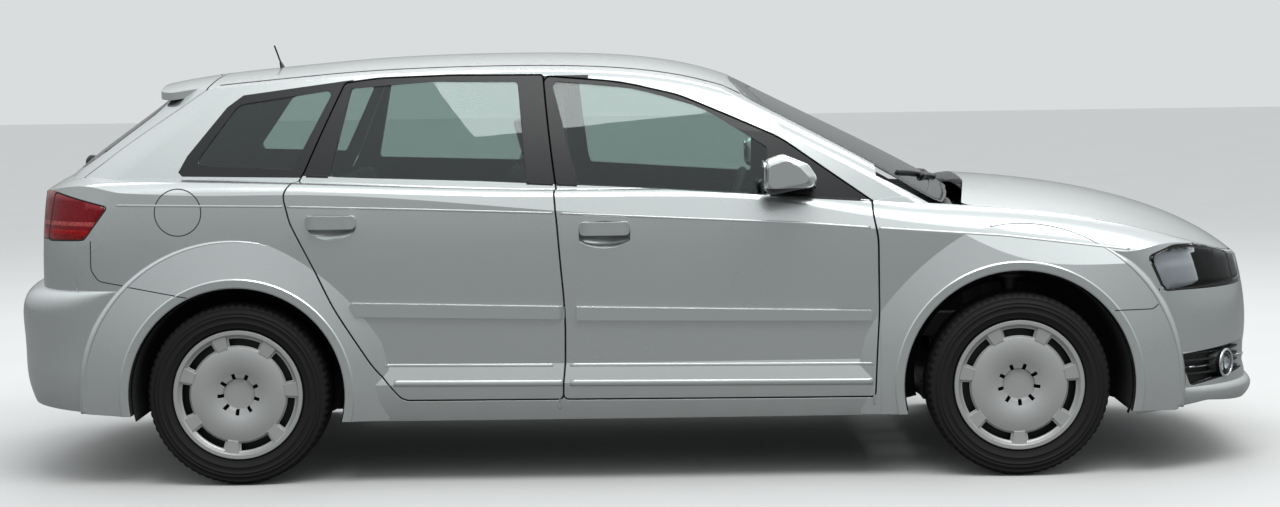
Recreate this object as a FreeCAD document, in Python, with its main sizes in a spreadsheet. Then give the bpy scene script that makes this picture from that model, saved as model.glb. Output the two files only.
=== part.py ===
import FreeCAD, Part
import math, os
from FreeCAD import Vector, Placement, Rotation

# A five-door hatchback car, nose towards +X, left side towards +Y, standing on z = 0. Millimetres.
doc = FreeCAD.newDocument("hatchback")

# Named sizes: name, value, what it is
ROWS = [
    ("wheelbase", 2578.0, "front axle to rear axle"),
    ("front_axle_x", 1264.0, "front axle ahead of the middle of the car"),
    ("front_overhang", 882.0, "front axle to chin lip"),
    ("rear_overhang", 832.0, "rear axle to rear bumper face"),
    ("half_width", 872.0, "middle of the car to the widest body crease"),
    ("roof_z", 1413.0, "crown of the roof above the floor"),
    ("side_wall", 85.0, "door and side wall, skin to trim"),
    ("pillar_wall", 42.0, "window frames, pillars and roof rails"),
    ("roof_wall", 34.0, "roof skin to headlining"),
    ("hood_wall", 32.0, "hood skin to its inner frame"),
    ("bay_wall", 38.0, "fender and bumper thickness"),
    ("panel_gap", 5.5, "gap round doors, hood and tailgate"),
    ("glass_set", 1.5, "glass face below the body surface"),
    ("glass_t", 5.0, "glass thickness"),
    ("glass_fit", 0.3, "gap between a pane and its opening"),
    ("tyre_r", 302.0, "tyre radius, loaded, which is the axle height"),
    ("tyre_w", 205.0, "tyre section width"),
    ("rim_r", 216.0, "rim flange radius"),
    ("front_track", 1534.0, "wheel middle to wheel middle, front"),
    ("rear_track", 1507.0, "wheel middle to wheel middle, rear"),
    ("front_arch_r", 380.0, "front wheel arch opening radius"),
    ("rear_arch_r", 357.0, "rear wheel arch opening radius"),
    ("arch_lip", 31.0, "width of the rolled arch lip"),
    ("cover_r", 214.0, "wheel cover radius"),
    ("spoke_n", 7, "wheel cover spokes"),
    ("bolt_pcd", 112.0, "wheel bolt circle"),
    ("bolt_n", 5, "wheel bolts"),
    ("hub_bore", 57.1, "wheel centre bore"),
    ("kingpin_in", 62.0, "steering axis inboard of the wheel middle"),
    ("sill_z", 209.0, "underside of the sills"),
    ("floor_z", 214.0, "underside of the floor"),
    ("floor_t", 32.0, "floor thickness"),
    ("engine_l", 470.0, "engine block, along X"),
    ("engine_w", 620.0, "engine block, along Y"),
    ("engine_h", 480.0, "engine block, along Z"),
    ("steer_wheel_r", 188.0, "steering wheel radius"),
    ("steer_rim_r", 15.0, "steering wheel rim radius"),
    ("exhaust_r", 24.0, "exhaust pipe radius"),
]
sheet = doc.addObject("Spreadsheet::Sheet", "Sizes")
for i, (name, value, note) in enumerate(ROWS, start=1):
    sheet.set("A%d" % i, name)
    sheet.set("B%d" % i, repr(value))
    sheet.set("C%d" % i, note)
    sheet.setAlias("B%d" % i, name)
doc.recompute()


def size(name):
    return float(getattr(sheet, name))


FA = size("front_axle_x")
RA = FA - size("wheelbase")
AXLE_Z = size("tyre_r")
GAP = size("panel_gap")
FIT = size("glass_fit")


# Stations along the car are drawn for these four anchors and follow the named axles and overhangs
DRAWN = (-2146.0, -1314.0, 1264.0, 2146.0)
ANCHORS = (RA - size("rear_overhang"), RA, FA, FA + size("front_overhang"))


def sx(x):
    for i in range(3):
        if x <= DRAWN[i + 1] or i == 2:
            k = (ANCHORS[i + 1] - ANCHORS[i]) / (DRAWN[i + 1] - DRAWN[i])
            return ANCHORS[i] + (x - DRAWN[i]) * k


def sy(y):
    return y * size("half_width") / 872.0


def sz(z):
    if z <= 1000.0:
        return z
    return 1000.0 + (z - 1000.0) * (size("roof_z") - 1000.0) / 413.0


# Plan outline at one height: eight tangent arcs (nose, corner, side, corner, tail and their mirror images)
def outline(z, nose, nose_r, nose_corner, half, side_r, side_x, tail, tail_r, tail_corner):
    def corner(end_x, end_r, rc):
        ra = end_r - rc
        bx = side_x
        by = half - side_r
        rb = side_r - rc
        d = math.hypot(bx - end_x, by)
        a = (ra * ra - rb * rb + d * d) / (2.0 * d)
        h = math.sqrt(max(ra * ra - a * a, 0.0))
        ux, uy = (bx - end_x) / d, by / d
        c = max(((end_x + a * ux + s * h * uy, a * uy - s * h * ux) for s in (1, -1)), key=lambda p: p[1])
        le = math.hypot(c[0] - end_x, c[1])
        e = (end_x + (c[0] - end_x) * end_r / le, c[1] * end_r / le)
        ls = math.hypot(c[0] - bx, c[1] - by)
        s = (bx + (c[0] - bx) * side_r / ls, by + (c[1] - by) * side_r / ls)
        m = ((e[0] + s[0]) / 2.0 - c[0], (e[1] + s[1]) / 2.0 - c[1])
        lm = math.hypot(*m)
        return e, (c[0] + m[0] * rc / lm, c[1] + m[1] * rc / lm), s

    fe, fm, fs = corner(nose - nose_r, nose_r, nose_corner)
    te, tm, ts = corner(tail + tail_r, tail_r, tail_corner)

    def p(q, s=1):
        return Vector(q[0], s * q[1], z)

    def arc(a, b, c):
        return Part.Arc(a, b, c).toShape()

    return Part.Wire([
        arc(p(fe, -1), Vector(nose, 0, z), p(fe)),
        arc(p(fe), p(fm), p(fs)),
        arc(p(fs), p((side_x, half)), p(ts)),
        arc(p(ts), p(tm), p(te)),
        arc(p(te), Vector(tail, 0, z), p(te, -1)),
        arc(p(te, -1), p(tm, -1), p(ts, -1)),
        arc(p(ts, -1), p((side_x, half), -1), p(fs, -1)),
        arc(p(fs, -1), p(fm, -1), p(fe, -1)),
    ])


# Cross section at one station: crown arc, shoulder arcs and side lines through the crease point
def section(x, crown_z, crown_r, crease_y, crease_z, slope, roll_r, foot_z=-300.0, drop=420.0):
    b = math.radians(slope)
    dy, dz = math.sin(b), -math.cos(b)
    ny, nz = -math.cos(b), -math.sin(b)
    cz = crown_z - crown_r
    qy, qz = crease_y + ny * roll_r, crease_z + nz * roll_r
    fy, fz = qy, qz - cz
    k = fy * dy + fz * dz
    t = -k - math.sqrt(k * k - (fy * fy + fz * fz - (crown_r - roll_r) ** 2))
    oy, oz = qy + t * dy, qz + t * dz
    lo = math.hypot(oy, oz - cz)
    s = (oy * crown_r / lo, cz + (oz - cz) * crown_r / lo)
    e = (oy - ny * roll_r, oz - nz * roll_r)
    my, mz = (s[0] + e[0]) / 2.0 - oy, (s[1] + e[1]) / 2.0 - oz
    lm = math.hypot(my, mz)
    m = (oy + my * roll_r / lm, oz + mz * roll_r / lm)
    low = (crease_y + dy * drop, crease_z + dz * drop)
    foot = (low[0], foot_z)

    def p(q, g=1):
        return Vector(x, g * q[0], q[1])

    def arc(a, b2, c):
        return Part.Arc(a, b2, c).toShape()

    def line(a, b2):
        return Part.LineSegment(a, b2).toShape()

    return Part.Wire([
        arc(p(s, -1), Vector(x, 0, crown_z), p(s)), arc(p(s), p(m), p(e)),
        line(p(e), p(low)), line(p(low), p(foot)), line(p(foot), p(foot, -1)),
        line(p(foot, -1), p(low, -1)), line(p(low, -1), p(e, -1)),
        arc(p(e, -1), p(m, -1), p(s, -1)),
    ])


def loft(wires):
    return Part.makeLoft(wires, True, False)


# Lower body: z, nose x, nose arc, nose corner, half width, side arc, widest x, tail x, tail arc, tail corner
SKIRT = [
    (150, 2056, 3200, 420, 842, 45000, -50, -2010, 2600, 330),
    (215, 2110, 3200, 430, 860, 45000, -50, -2035, 2600, 330),
    (330, 2116, 3200, 440, 871, 45000, -50, -2055, 2600, 330),
]
LEDGE = [
    (330, 2116, 3200, 440, 871, 45000, -50, -2055, 2600, 330),
    (395, 2120, 3200, 446, 858, 45000, -50, -2065, 2600, 330),
]
FLANK = [
    (395, 2120, 3200, 446, 858, 45000, -50, -2065, 2600, 330),
    (500, 2126, 3200, 460, 863, 45000, -50, -2070, 2600, 330),
    (620, 2112, 3100, 480, 868, 45000, -50, -2073, 2600, 330),
    (760, 2075, 2900, 500, 870, 45000, -50, -2072, 2600, 330),
    (900, 2020, 2700, 520, 866, 45000, -50, -2062, 2600, 330),
    (1100, 1930, 2500, 540, 850, 45000, -50, -2030, 2600, 330),
]
# Rear bumper skin, the same columns
REAR_SKIN = [
    (150, 2056, 3200, 420, 842, 45000, -50, -2040, 2600, 330),
    (250, 2110, 3200, 430, 864, 45000, -50, -2108, 2600, 330),
    (400, 2120, 3200, 446, 863, 45000, -50, -2141, 2600, 330),
    (580, 2112, 3100, 480, 867, 45000, -50, -2146, 2600, 330),
    (625, 2112, 3100, 480, 869, 45000, -50, -2128, 2600, 330),
    (650, 2112, 3100, 480, 869, 45000, -50, -2072, 2600, 330),
]
# Front bumper chin lip, the same columns
CHIN = [
    (195, 2096, 3200, 420, 856, 45000, -50, -2035, 2600, 330),
    (240, 2144, 3200, 440, 866, 45000, -50, -2035, 2600, 330),
    (258, 2146, 3200, 440, 867, 45000, -50, -2035, 2600, 330),
    (285, 2117, 3200, 440, 866, 45000, -50, -2035, 2600, 330),
]
# Shoulder and hood: x, crown z, crown arc, crease y, crease z, side slope, shoulder roll
SHOULDER = [
    (-2240, 640, 4000, 790, 500, 22, 60),
    (-2130, 830, 4200, 812, 700, 22, 70),
    (-2060, 950, 4400, 824, 850, 22, 70),
    (-1960, 1022, 4800, 836, 915, 21, 70),
    (-1700, 1050, 7000, 846, 934, 19, 60),
    (-1100, 1035, 9000, 862, 922, 17, 40),
    (-250, 1003, 9500, 868, 890, 16, 35),
    (500, 985, 8000, 864, 850, 17, 45),
    (900, 972, 4200, 857, 822, 19, 80),
    (1200, 955, 3900, 850, 797, 21, 110),
    (1550, 912, 3700, 838, 752, 24, 130),
    (1800, 850, 3500, 824, 712, 26, 120),
    (1980, 775, 3200, 812, 650, 28, 100),
    (2090, 700, 3000, 800, 570, 28, 90),
    (2160, 625, 2900, 790, 490, 28, 80),
    (2240, 500, 2800, 780, 380, 28, 80),
]
# Greenhouse: the same columns as the lower body
GLASSHOUSE = [
    (880, 1175, 2000, 110, 842, 9500, -250, -2062, 2000, 260),
    (1050, 880, 1950, 105, 789, 9500, -250, -1938, 1950, 250),
    (1200, 582, 1850, 100, 729, 9500, -250, -1736, 1850, 240),
    (1330, 323, 1750, 95, 668, 9500, -250, -1560, 1750, 230),
    (1430, 124, 1700, 90, 615, 9500, -250, -1425, 1700, 220),
]
# Roof: the same columns as the shoulder
ROOF = [
    (-2300, 1150, 3600, 560, 1084, 38, 60),
    (-1750, 1300, 3600, 600, 1238, 38, 60),
    (-1480, 1351, 3600, 630, 1289, 38, 55),
    (-1250, 1374, 3600, 645, 1309, 38, 50),
    (-828, 1405, 3600, 656, 1338, 38, 50),
    (-450, 1413, 3600, 660, 1345, 38, 50),
    (-44, 1401, 3600, 655, 1334, 38, 50),
    (148, 1376, 3600, 648, 1311, 38, 50),
    (310, 1333, 3800, 645, 1272, 38, 50),
    (520, 1255, 5000, 680, 1200, 38, 50),
    (900, 1110, 5200, 740, 1045, 38, 50),
    (1300, 960, 5200, 800, 890, 38, 50),
]


def plan_loft(table, inset=0.0):
    wires = []
    for z, nose, nr, nc, half, sr, mid, tail, tr, tc in table:
        wires.append(outline(sz(z), sx(nose) - inset, nr - inset, max(nc - inset, 30.0), sy(half) - inset,
                             sr - inset, sx(mid), sx(tail) + inset, tr - inset, max(tc - inset, 30.0)))
    return loft(wires)


def cross_loft(table, inset=0.0):
    wires = []
    for x, cz, cr, y, z, slope, roll in table:
        b = math.radians(slope)
        wires.append(section(sx(x), sz(cz) - inset, cr - inset, sy(y) - inset * math.cos(b),
                             sz(z) - inset * math.sin(b), slope, max(roll - inset, 12.0)))
    return loft(wires)


def box(x0, x1, y0, y1, z0, z1):
    return Part.makeBox(x1 - x0, y1 - y0, z1 - z0, Vector(x0, y0, z0))


# The left half of everything is worked out, and the right half mirrors it
LEFT = box(-2400, 2400, 0, 1300, -400, 1600)


def low_body(inset=0.0, top=0.0):
    flank = plan_loft(SKIRT, inset).fuse([plan_loft(LEDGE, inset), plan_loft(FLANK, inset)])
    return flank.common(cross_loft(SHOULDER, max(inset, top)).common(LEFT))


def greenhouse(inset=0.0, top=0.0):
    return plan_loft(GLASSHOUSE, inset).common(cross_loft(ROOF, max(inset, top)).common(LEFT))


def mirrored(shape):
    return shape.mirror(Vector(0, 0, 0), Vector(0, 1, 0))


# Closed wire of lines with rounded corners from (u, v, corner radius) rows, placed by a function of u and v
def rounded(rows, place):
    n = len(rows)
    edges = []
    ends = []
    for i in range(n):
        u0, v0, _ = rows[i - 1]
        u1, v1, r = rows[i]
        u2, v2, _ = rows[(i + 1) % n]
        a = (u0 - u1, v0 - v1)
        b = (u2 - u1, v2 - v1)
        la, lb = math.hypot(*a), math.hypot(*b)
        a = (a[0] / la, a[1] / la)
        b = (b[0] / lb, b[1] / lb)
        dot = max(-1.0, min(1.0, a[0] * b[0] + a[1] * b[1]))
        half = math.acos(dot) / 2.0
        cut = min(r / math.tan(half), 0.48 * la, 0.48 * lb) if r > 0 else 0.0
        rr = cut * math.tan(half)
        p = (u1 + a[0] * cut, v1 + a[1] * cut)
        q = (u1 + b[0] * cut, v1 + b[1] * cut)
        w = (a[0] + b[0], a[1] + b[1])
        lw = math.hypot(*w)
        if cut < 0.5 or lw < 1e-6:
            ends.append(((u1, v1), None, (u1, v1)))
            continue
        d = rr / math.sin(half) - rr
        ends.append((p, (u1 + w[0] / lw * d, v1 + w[1] / lw * d), q))
    for i in range(n):
        q0 = ends[i - 1][2]
        p, m, q = ends[i]
        if math.hypot(q0[0] - p[0], q0[1] - p[1]) > 1e-3:
            edges.append(Part.LineSegment(place(*q0), place(*p)).toShape())
        if m is not None:
            edges.append(Part.Arc(place(*p), place(*m), place(*q)).toShape())
    return Part.Wire(edges)


# Half width of the skin at a height, where an outline drawn from the side meets it
SKIN_Y = [(150, 845), (330, 868), (395, 856), (880, 862), (960, 830), (1050, 782), (1200, 722), (1330, 660), (1430, 610)]


def skin_y(z):
    for (z0, y0), (z1, y1) in zip(SKIN_Y, SKIN_Y[1:]):
        if z <= z1:
            return sy(y0 + (y1 - y0) * (z - z0) / (z1 - z0))
    return sy(SKIN_Y[-1][1])


# Left side prism of a side-view outline. lean is how far its walls run forward for each mm inward.
def side_prism(rows, lean=0.0, grow=0.0, y0=440.0, y1=960.0):
    flat = [(sx(x) + lean * (skin_y(sz(z)) - 700.0), sz(z), r) for x, z, r in rows]
    wire = rounded(flat, lambda u, v: Vector(u, 700.0, v))
    if grow:
        wire = wire.makeOffset2D(grow, 2, False, False, False)
    face = Part.Face(wire)
    face.translate(Vector(lean * (700.0 - y0), y0 - 700.0, 0))
    return face.extrude(Vector(-lean * (y1 - y0), y1 - y0, 0))


def top_prism(rows, z0, z1, grow=0.0):
    wire = rounded([(sx(x), sy(y), r) for x, y, r in rows], lambda u, v: Vector(u, v, z0))
    if grow:
        wire = wire.makeOffset2D(grow, 2, False, False, False)
    return Part.Face(wire).extrude(Vector(0, 0, z1 - z0))


def end_prism(rows, x0, x1, grow=0.0):
    wire = rounded([(sy(y), sz(z), r) for y, z, r in rows], lambda u, v: Vector(x0, u, v))
    if grow:
        wire = wire.makeOffset2D(grow, 2, False, False, False)
    return Part.Face(wire).extrude(Vector(x1 - x0, 0, 0))


def both(rows):
    return rows + [(x, -y, r) for x, y, r in reversed(rows)]


def both_ends(rows):
    return rows + [(-y, z, r) for y, z, r in reversed(rows)]


nodes = []


def node(name, shape, keep=1):
    solids = sorted(shape.Solids, key=lambda s: -s.Volume)[:keep]
    shape = solids[0] if len(solids) == 1 else Part.makeCompound(solids)
    if not shape.Solids or not shape.isValid():
        raise ValueError("bad solid in " + name)
    obj = doc.addObject("Part::Feature", name)
    obj.Shape = shape
    nodes.append(obj)
    return obj


# Side-view outlines: x, z, corner radius
LEAN = 0.3
FRONT_DOOR = [
    (-232, 279, 14), (-221, 560, 1500), (-246, 915, 900), (-290, 1334, 16), (-40, 1312, 900), (150, 1266, 500),
    (480, 1122, 500), (775, 903, 24), (801, 800, 300), (803, 560, 900), (789, 273, 14),
]
REAR_DOOR = [
    (-766, 281, 50), (-860, 392, 300), (-985, 590, 900), (-1128, 870, 150), (-1142, 960, 60), (-1096, 1030, 60),
    (-963, 1320, 16), (-850, 1334, 600), (-600, 1341, 900), (-296, 1338, 12), (-252, 915, 900), (-227, 560, 1500),
    (-238, 279, 14),
]
FRONT_PANE = [
    (-180, 981, 12), (-267, 1319, 16), (9, 1292, 600), (232, 1226, 400), (446, 1092, 16), (446, 938, 10),
]
REAR_PANE = [(-350, 989, 12), (-1004, 1014, 14), (-939, 1303, 14), (-660, 1323, 900), (-380, 1318, 14)]
QUARTER_PANE = [(-1128, 1040, 14), (-1466, 1054, 18), (-1318, 1254, 40), (-996, 1300, 14)]

# Front end zone, hood and lamps
FRONT_ZONE = [
    (808, 100, 0), (808, 560, 1500), (807, 800, 300), (781, 909, 12), (868, 927, 200), (1090, 890, 0), (1090, 1100, 0),
    (2300, 1100, 0), (2300, 100, 0),
]
HOOD_PLAN = both([
    (1152, 0, 0), (1146, 300, 900), (1088, 742, 40), (1500, 752, 2000), (1790, 735, 160), (1960, 640, 300),
    (2050, 420, 300), (2098, 0, 0),
][1:-1])
LAMP_SIDE = [(1692, 716, 20), (1778, 753, 60), (2120, 753, 0), (2120, 602, 0), (1745, 602, 30)]
BUMPER_SIDE = [
    (1560, 547, 0), (1702, 547, 14), (1731, 574, 14), (1731, 602, 0), (2300, 602, 0), (2300, 100, 0), (1560, 100, 0),
]
FOG_HOLE = [(1800, 388, 10), (2086, 414, 40), (2090, 322, 20), (1838, 282, 16)]
# Rear end
TAILGATE_END = both_ends([
    (545, 654, 30), (556, 800, 900), (572, 930, 120), (604, 1000, 60), (614, 1060, 60), (592, 1240, 400),
    (560, 1420, 0),
])
TAILGATE_PANE = both_ends([(300, 1032, 900), (566, 1046, 60), (515, 1252, 60), (300, 1286, 900)])
TAIL_LAMP = [(-1729, 930, 16), (-1816, 817, 16), (-2140, 812, 0), (-2140, 984, 0), (-1930, 978, 30)]
REAR_BUMPER_SIDE = [
    (-1500, 633, 30), (-1766, 684, 30), (-1792, 720, 30), (-1792, 815, 0), (-1850, 815, 0), (-1850, 650, 0),
    (-2300, 650, 0), (-2300, 100, 0), (-1500, 100, 0),
]
WINDSCREEN = both_ends([(300, 922, 900), (732, 892, 40), (575, 1256, 70), (300, 1318, 900)])
TAILGATE_X = sx(-1436)

# Envelope and its hollows
SILL_Z = size("sill_z")
FLOOR_TOP = size("floor_z") + size("floor_t")
BOOT_FLOOR = 340.0
COWL_DROP = 50.0
WING = sy(787)


def arch_flare(x, r):
    # rolled lip and the swell above it, turned about the wheel axle
    lip = size("arch_lip")
    y = sy(879)
    rows = [(r, y - 45), (r, y - 2), (r + 4, y), (r + lip - 4, y), (r + lip, y - 3), (r + 150, y - 24), (r + 150, y - 45)]
    ring = Part.Face(Part.makePolygon([Vector(x, b, AXLE_Z + a) for a, b in rows + rows[:1]]))
    ring = ring.revolve(Vector(x, 0, AXLE_Z), Vector(0, 1, 0), 360)
    return ring.common(box(x - 700, x + 700, 700, 1000, 212, 1000))


def arch_cut(x, r, y0):
    return Part.makeCylinder(r, 1000 - y0, Vector(x, y0, AXLE_Z), Vector(0, 1, 0))


R_FRONT = size("front_arch_r")
R_REAR = size("rear_arch_r")
shoulder = cross_loft(SHOULDER)
flares = [arch_flare(FA, R_FRONT).common(shoulder), arch_flare(RA, R_REAR).common(shoulder)]
shell = low_body().fuse([greenhouse()] + flares)
SIDE = size("side_wall")
PILLAR = size("pillar_wall")
CABIN_X = sx(806)
cabin = box(sx(-1000), CABIN_X, -950, 950, FLOOR_TOP, 1300)
boot = box(sx(-1960), sx(-990), -950, 950, BOOT_FLOOR, 1300)
room_low = low_body(SIDE, 40.0).common(cabin.fuse(boot))
room_up = greenhouse(PILLAR).common(box(sx(-2000), sx(1000), -950, 950, 900, 1500))
room_mid = greenhouse(SIDE).common(box(sx(-2000), CABIN_X, -950, 950, 800, 905))
# the shoulder's deck is open under the whole glasshouse
deck = [f for f in room_mid.Faces if f.BoundBox.ZMax < room_mid.BoundBox.ZMin + 1.0]
room_deck = deck[0].extrude(Vector(0, 0, -80.0))
BAY = size("bay_wall")
bay_box = box(sx(870), sx(2060), -950, 950, 100, 1100).cut(box(sx(860), sx(1085), -950, 950, 870, 1200))
bay = low_body(BAY, size("hood_wall")).common(bay_box)
under = box(sx(-2030), sx(-1040), -sy(745), sy(745), 100, 300)
wells = [arch_cut(FA, R_FRONT, 470), arch_cut(RA, R_REAR, 590)]
wall_l = shell.cut([room_low, room_deck, room_mid, room_up, bay, under] + wells)
belly = side_prism([
    (-2400, 90, 0), (-2400, 262, 0), (-2100, 262, 200), (-1640, 236, 60), (-1400, SILL_Z, 0), (1500, SILL_Z, 0),
    (1660, 194, 60), (1900, 232, 100), (2060, 214, 100), (2400, 214, 0), (2400, 90, 0)], y0=-960, y1=960)
FLOOR_Z = size("floor_z")
wall_l = wall_l.cut([belly, box(sx(-1040), sx(870), -10, WING, 100, FLOOR_Z)])

# Post between the doors, inside their meeting edges
POST = [(-182, 230, 0), (-182, 560, 1500), (-208, 915, 900), (-250, 1349, 0), (-350, 1349, 0), (-306, 915, 900),
        (-282, 560, 1500), (-282, 230, 0)]


def depth_zone(depth, x0=-420, x1=-120, upper=None):
    # everything more than this depth inside the skin, over the door openings; upper is the depth beside the glass
    x0, x1 = sx(x0), sx(x1)
    pts = [Vector(x0, 300, 150)]
    pts += [Vector(x0, skin_y(z) - (upper if upper and z > 900 else depth), sz(z)) for z, _ in SKIN_Y]
    pts.append(Vector(x0, 300, sz(1430)))
    return Part.Face(Part.makePolygon(pts + pts[:1])).extrude(Vector(x1 - x0, 0, 0))


post_slot = side_prism(POST, LEAN, 5.0).common(depth_zone(30.0))
post = side_prism(POST, LEAN).common(depth_zone(48.0)).cut(depth_zone(100.0))

# Doors reach this far in from the skin
DOOR_DEPTH = SIDE + 5.0
deep = depth_zone(DOOR_DEPTH, -1300, 950, DOOR_DEPTH + 40)
deep_gap = depth_zone(DOOR_DEPTH + GAP, -1300, 950, DOOR_DEPTH + GAP + 40)
front_door_zone = side_prism(FRONT_DOOR, LEAN).cut(deep)
rear_door_zone = side_prism(REAR_DOOR, LEAN).cut(deep)
front_door_gap = side_prism(FRONT_DOOR, LEAN, GAP).cut(deep_gap)
rear_door_gap = side_prism(REAR_DOOR, LEAN, GAP).cut(deep_gap)
front_pane_hole = side_prism(FRONT_PANE)
rear_pane_hole = side_prism(REAR_PANE)
quarter_hole = side_prism(QUARTER_PANE)
hood_zone = top_prism(HOOD_PLAN, 640, 1100)
hood_gap = top_prism(HOOD_PLAN, 630, 1100, GAP)
lamp_zone = side_prism(LAMP_SIDE, y0=425)
bumper_zone = side_prism(BUMPER_SIDE, y0=-10).fuse(box(sx(1960), 2400, -10, 425, 590, 1000))
front_zone = side_prism(FRONT_ZONE, y0=-10)
screen_hole = end_prism(WINDSCREEN, sx(180), sx(1300))
tailgate_zone = end_prism(TAILGATE_END, -2400, TAILGATE_X)
tailgate_gap = end_prism(TAILGATE_END, -2400, TAILGATE_X + GAP, GAP)
tail_hole = end_prism(TAILGATE_PANE, -2400, sx(-1500))
tail_lamp_zone = side_prism(TAIL_LAMP)
rear_bumper_zone = side_prism(REAR_BUMPER_SIDE, y0=-10)
roof_zone = box(TAILGATE_X + GAP, sx(430), -10, sy(548), 1200, 1500)
floor_zone = box(sx(-1960), sx(870), -10, WING, 100, FLOOR_TOP)
floor_zone = floor_zone.fuse(box(sx(-1960), sx(-1000), -10, WING, 100, BOOT_FLOOR))
cowl_zone = box(CABIN_X, sx(1200), -10, sy(745), 840, 1100)
bulkhead_zone = box(CABIN_X, sx(870), -10, WING, FLOOR_TOP, 840)

# Hinge axes of the doors, and the round that the inner front corner of the front door turns in
DOOR_AXES = {"front": (sx(786), sy(861)), "rear": (sx(-250), sy(864))}
CORNER_R = DOOR_DEPTH + 3.0
hinge_x, hinge_y = DOOR_AXES["front"]
corner_waste = Part.makeBox(90, 200, 1000, Vector(hinge_x, hinge_y - 200, 200)).cut(
    Part.makeCylinder(CORNER_R, 1000, Vector(hinge_x, hinge_y, 200), Vector(0, 0, 1)))
front_door = wall_l.common(front_door_zone).cut([front_pane_hole, post_slot, corner_waste])
rear_door = wall_l.common(rear_door_zone).cut([rear_pane_hole, post_slot])
front = wall_l.common(front_zone).cut(front_door_gap)
hood_half = front.common(hood_zone)
front = front.cut(hood_gap)
lamp = front.common(lamp_zone)
front = front.cut(lamp_zone)
front_bumper = front.common(bumper_zone)
front = front.cut(bumper_zone)
cowl = front.common(cowl_zone).common(cross_loft(SHOULDER, COWL_DROP)).cut(screen_hole)
fender = front.cut([cowl_zone, floor_zone, bulkhead_zone])
rest = wall_l.cut([front_zone, front_door_gap, rear_door_gap])
# the tailgate's edge beside the glass is a thin lip, so that it lifts past the rear pillars
lip_zone = tailgate_zone.cut(end_prism(TAILGATE_END, -2400, TAILGATE_X, -30.0)).common(greenhouse(12.0))
lip_zone = lip_zone.common(box(-2400, 0, 0, 1000, 990, 1290))
tailgate_half = rest.common(tailgate_zone).cut([tail_hole, lip_zone])
rest = rest.cut(tailgate_gap)
tail_lamp = rest.common(tail_lamp_zone)
rest = rest.cut(tail_lamp_zone)
rear_low = rest.common(rear_bumper_zone)
rest = rest.cut(rear_bumper_zone)
roof_half = rest.common(roof_zone).cut(screen_hole)
rest = rest.cut([roof_zone, screen_hole, quarter_hole])
floor_half = wall_l.common(floor_zone).cut([rear_bumper_zone, front_door_gap, rear_door_gap])
bulkhead = wall_l.common(bulkhead_zone).cut(front_door_gap)
side = rest.cut([floor_zone, bulkhead_zone, cowl_zone])
# the rear pillar's inner flange stands back, so that the tailgate's wider lower part passes it
flange = end_prism(TAILGATE_END, -2400, TAILGATE_X + GAP, GAP + 26).common(greenhouse(12.0))
side = side.cut(flange.common(box(-2400, 0, 0, 1000, 1010, 1330))).fuse(post.cut(floor_zone))


def whole(half):
    # both halves of a panel that crosses the middle of the car
    return half.fuse(mirrored(half)).removeSplitter()


def pair(half):
    return Part.makeCompound([half, mirrored(half)])


def biggest(shape, n=1):
    solids = sorted(shape.Solids, key=lambda q: -q.Volume)[:n]
    return solids[0] if n == 1 else Part.makeCompound(solids)


def ring_at(z, nose_in, depth, high):
    # flat bar that follows the nose: set back from the skin, this deep and this high
    row = min(FLANK + SKIRT, key=lambda q: abs(q[0] - z))
    faces = []
    for more in (nose_in, nose_in + depth):
        faces.append(Part.Face(outline(z, sx(row[1]) - more, row[2] - more, row[3] - more, sy(row[4]) - more,
                                       row[5] - more, sx(row[6]), sx(row[7]) + more, row[8] - more, row[9] - more)))
    return faces[0].cut(faces[1]).extrude(Vector(0, 0, high))


# Door trim: rub strips, handles over a dished recess
STRIPS = [("front", [(-215, 583, 6), (-216, 537, 6), (781, 522, 10), (781, 557, 10)]),
          ("rear", [(-943, 604, 10), (-918, 557, 10), (-228, 541, 6), (-228, 584, 6)])]
HANDLES = [("front", -94, 838), ("rear", -993, 870)]
strip_skin = loft([outline(z, 2120, 3200, 446, sy(866 + 12), 45000, sx(-50), -2065, 2600, 330) for z in (500, 630)])


def strip(rows):
    return strip_skin.common(side_prism(rows, y0=800)).cut(box(-2400, 2400, 0, sy(846), 0, 1500))


def handle_dish(x, z):
    # finger recess under the grip: a circular arc turned about an axis along the car
    y = skin_y(z) + 26.0
    face = Part.Face(Part.Wire([
        Part.LineSegment(Vector(x - 84, y, z), Vector(x + 84, y, z)).toShape(),
        Part.LineSegment(Vector(x + 84, y, z), Vector(x + 84, y, z + 27)).toShape(),
        Part.Arc(Vector(x + 84, y, z + 27), Vector(x, y, z + 48), Vector(x - 84, y, z + 27)).toShape(),
        Part.LineSegment(Vector(x - 84, y, z + 27), Vector(x - 84, y, z)).toShape()]))
    return face.revolve(Vector(x, y, z), Vector(1, 0, 0), 360)


def handle_grip(x, z):
    # bowed bar with rounded ends, both feet in the door skin
    y = skin_y(z)
    rows = [(x - 88, y - 8, 0), (x - 88, y + 3, 8), (x - 62, y + 24, 40), (x + 62, y + 24, 40), (x + 88, y + 3, 8),
            (x + 88, y - 8, 0), (x + 66, y - 8, 0), (x + 54, y + 11, 14), (x - 54, y + 11, 14), (x - 66, y - 8, 0)]
    bar = Part.Face(rounded(rows, lambda u, v: Vector(u, v, z - 30))).extrude(Vector(0, 0, 60))
    ends = [(x - 83, z - 22, 15), (x - 83, z + 22, 15), (x + 83, z + 22, 15), (x + 83, z - 22, 15)]
    return bar.common(Part.Face(rounded(ends, lambda u, v: Vector(u, 700.0, v))).extrude(Vector(0, 300, 0)))


doors = {"front": front_door, "rear": rear_door}
for label, x, z in HANDLES:
    doors[label] = doors[label].cut(handle_dish(sx(x), z - 19)).fuse(handle_grip(sx(x), z))
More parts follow.
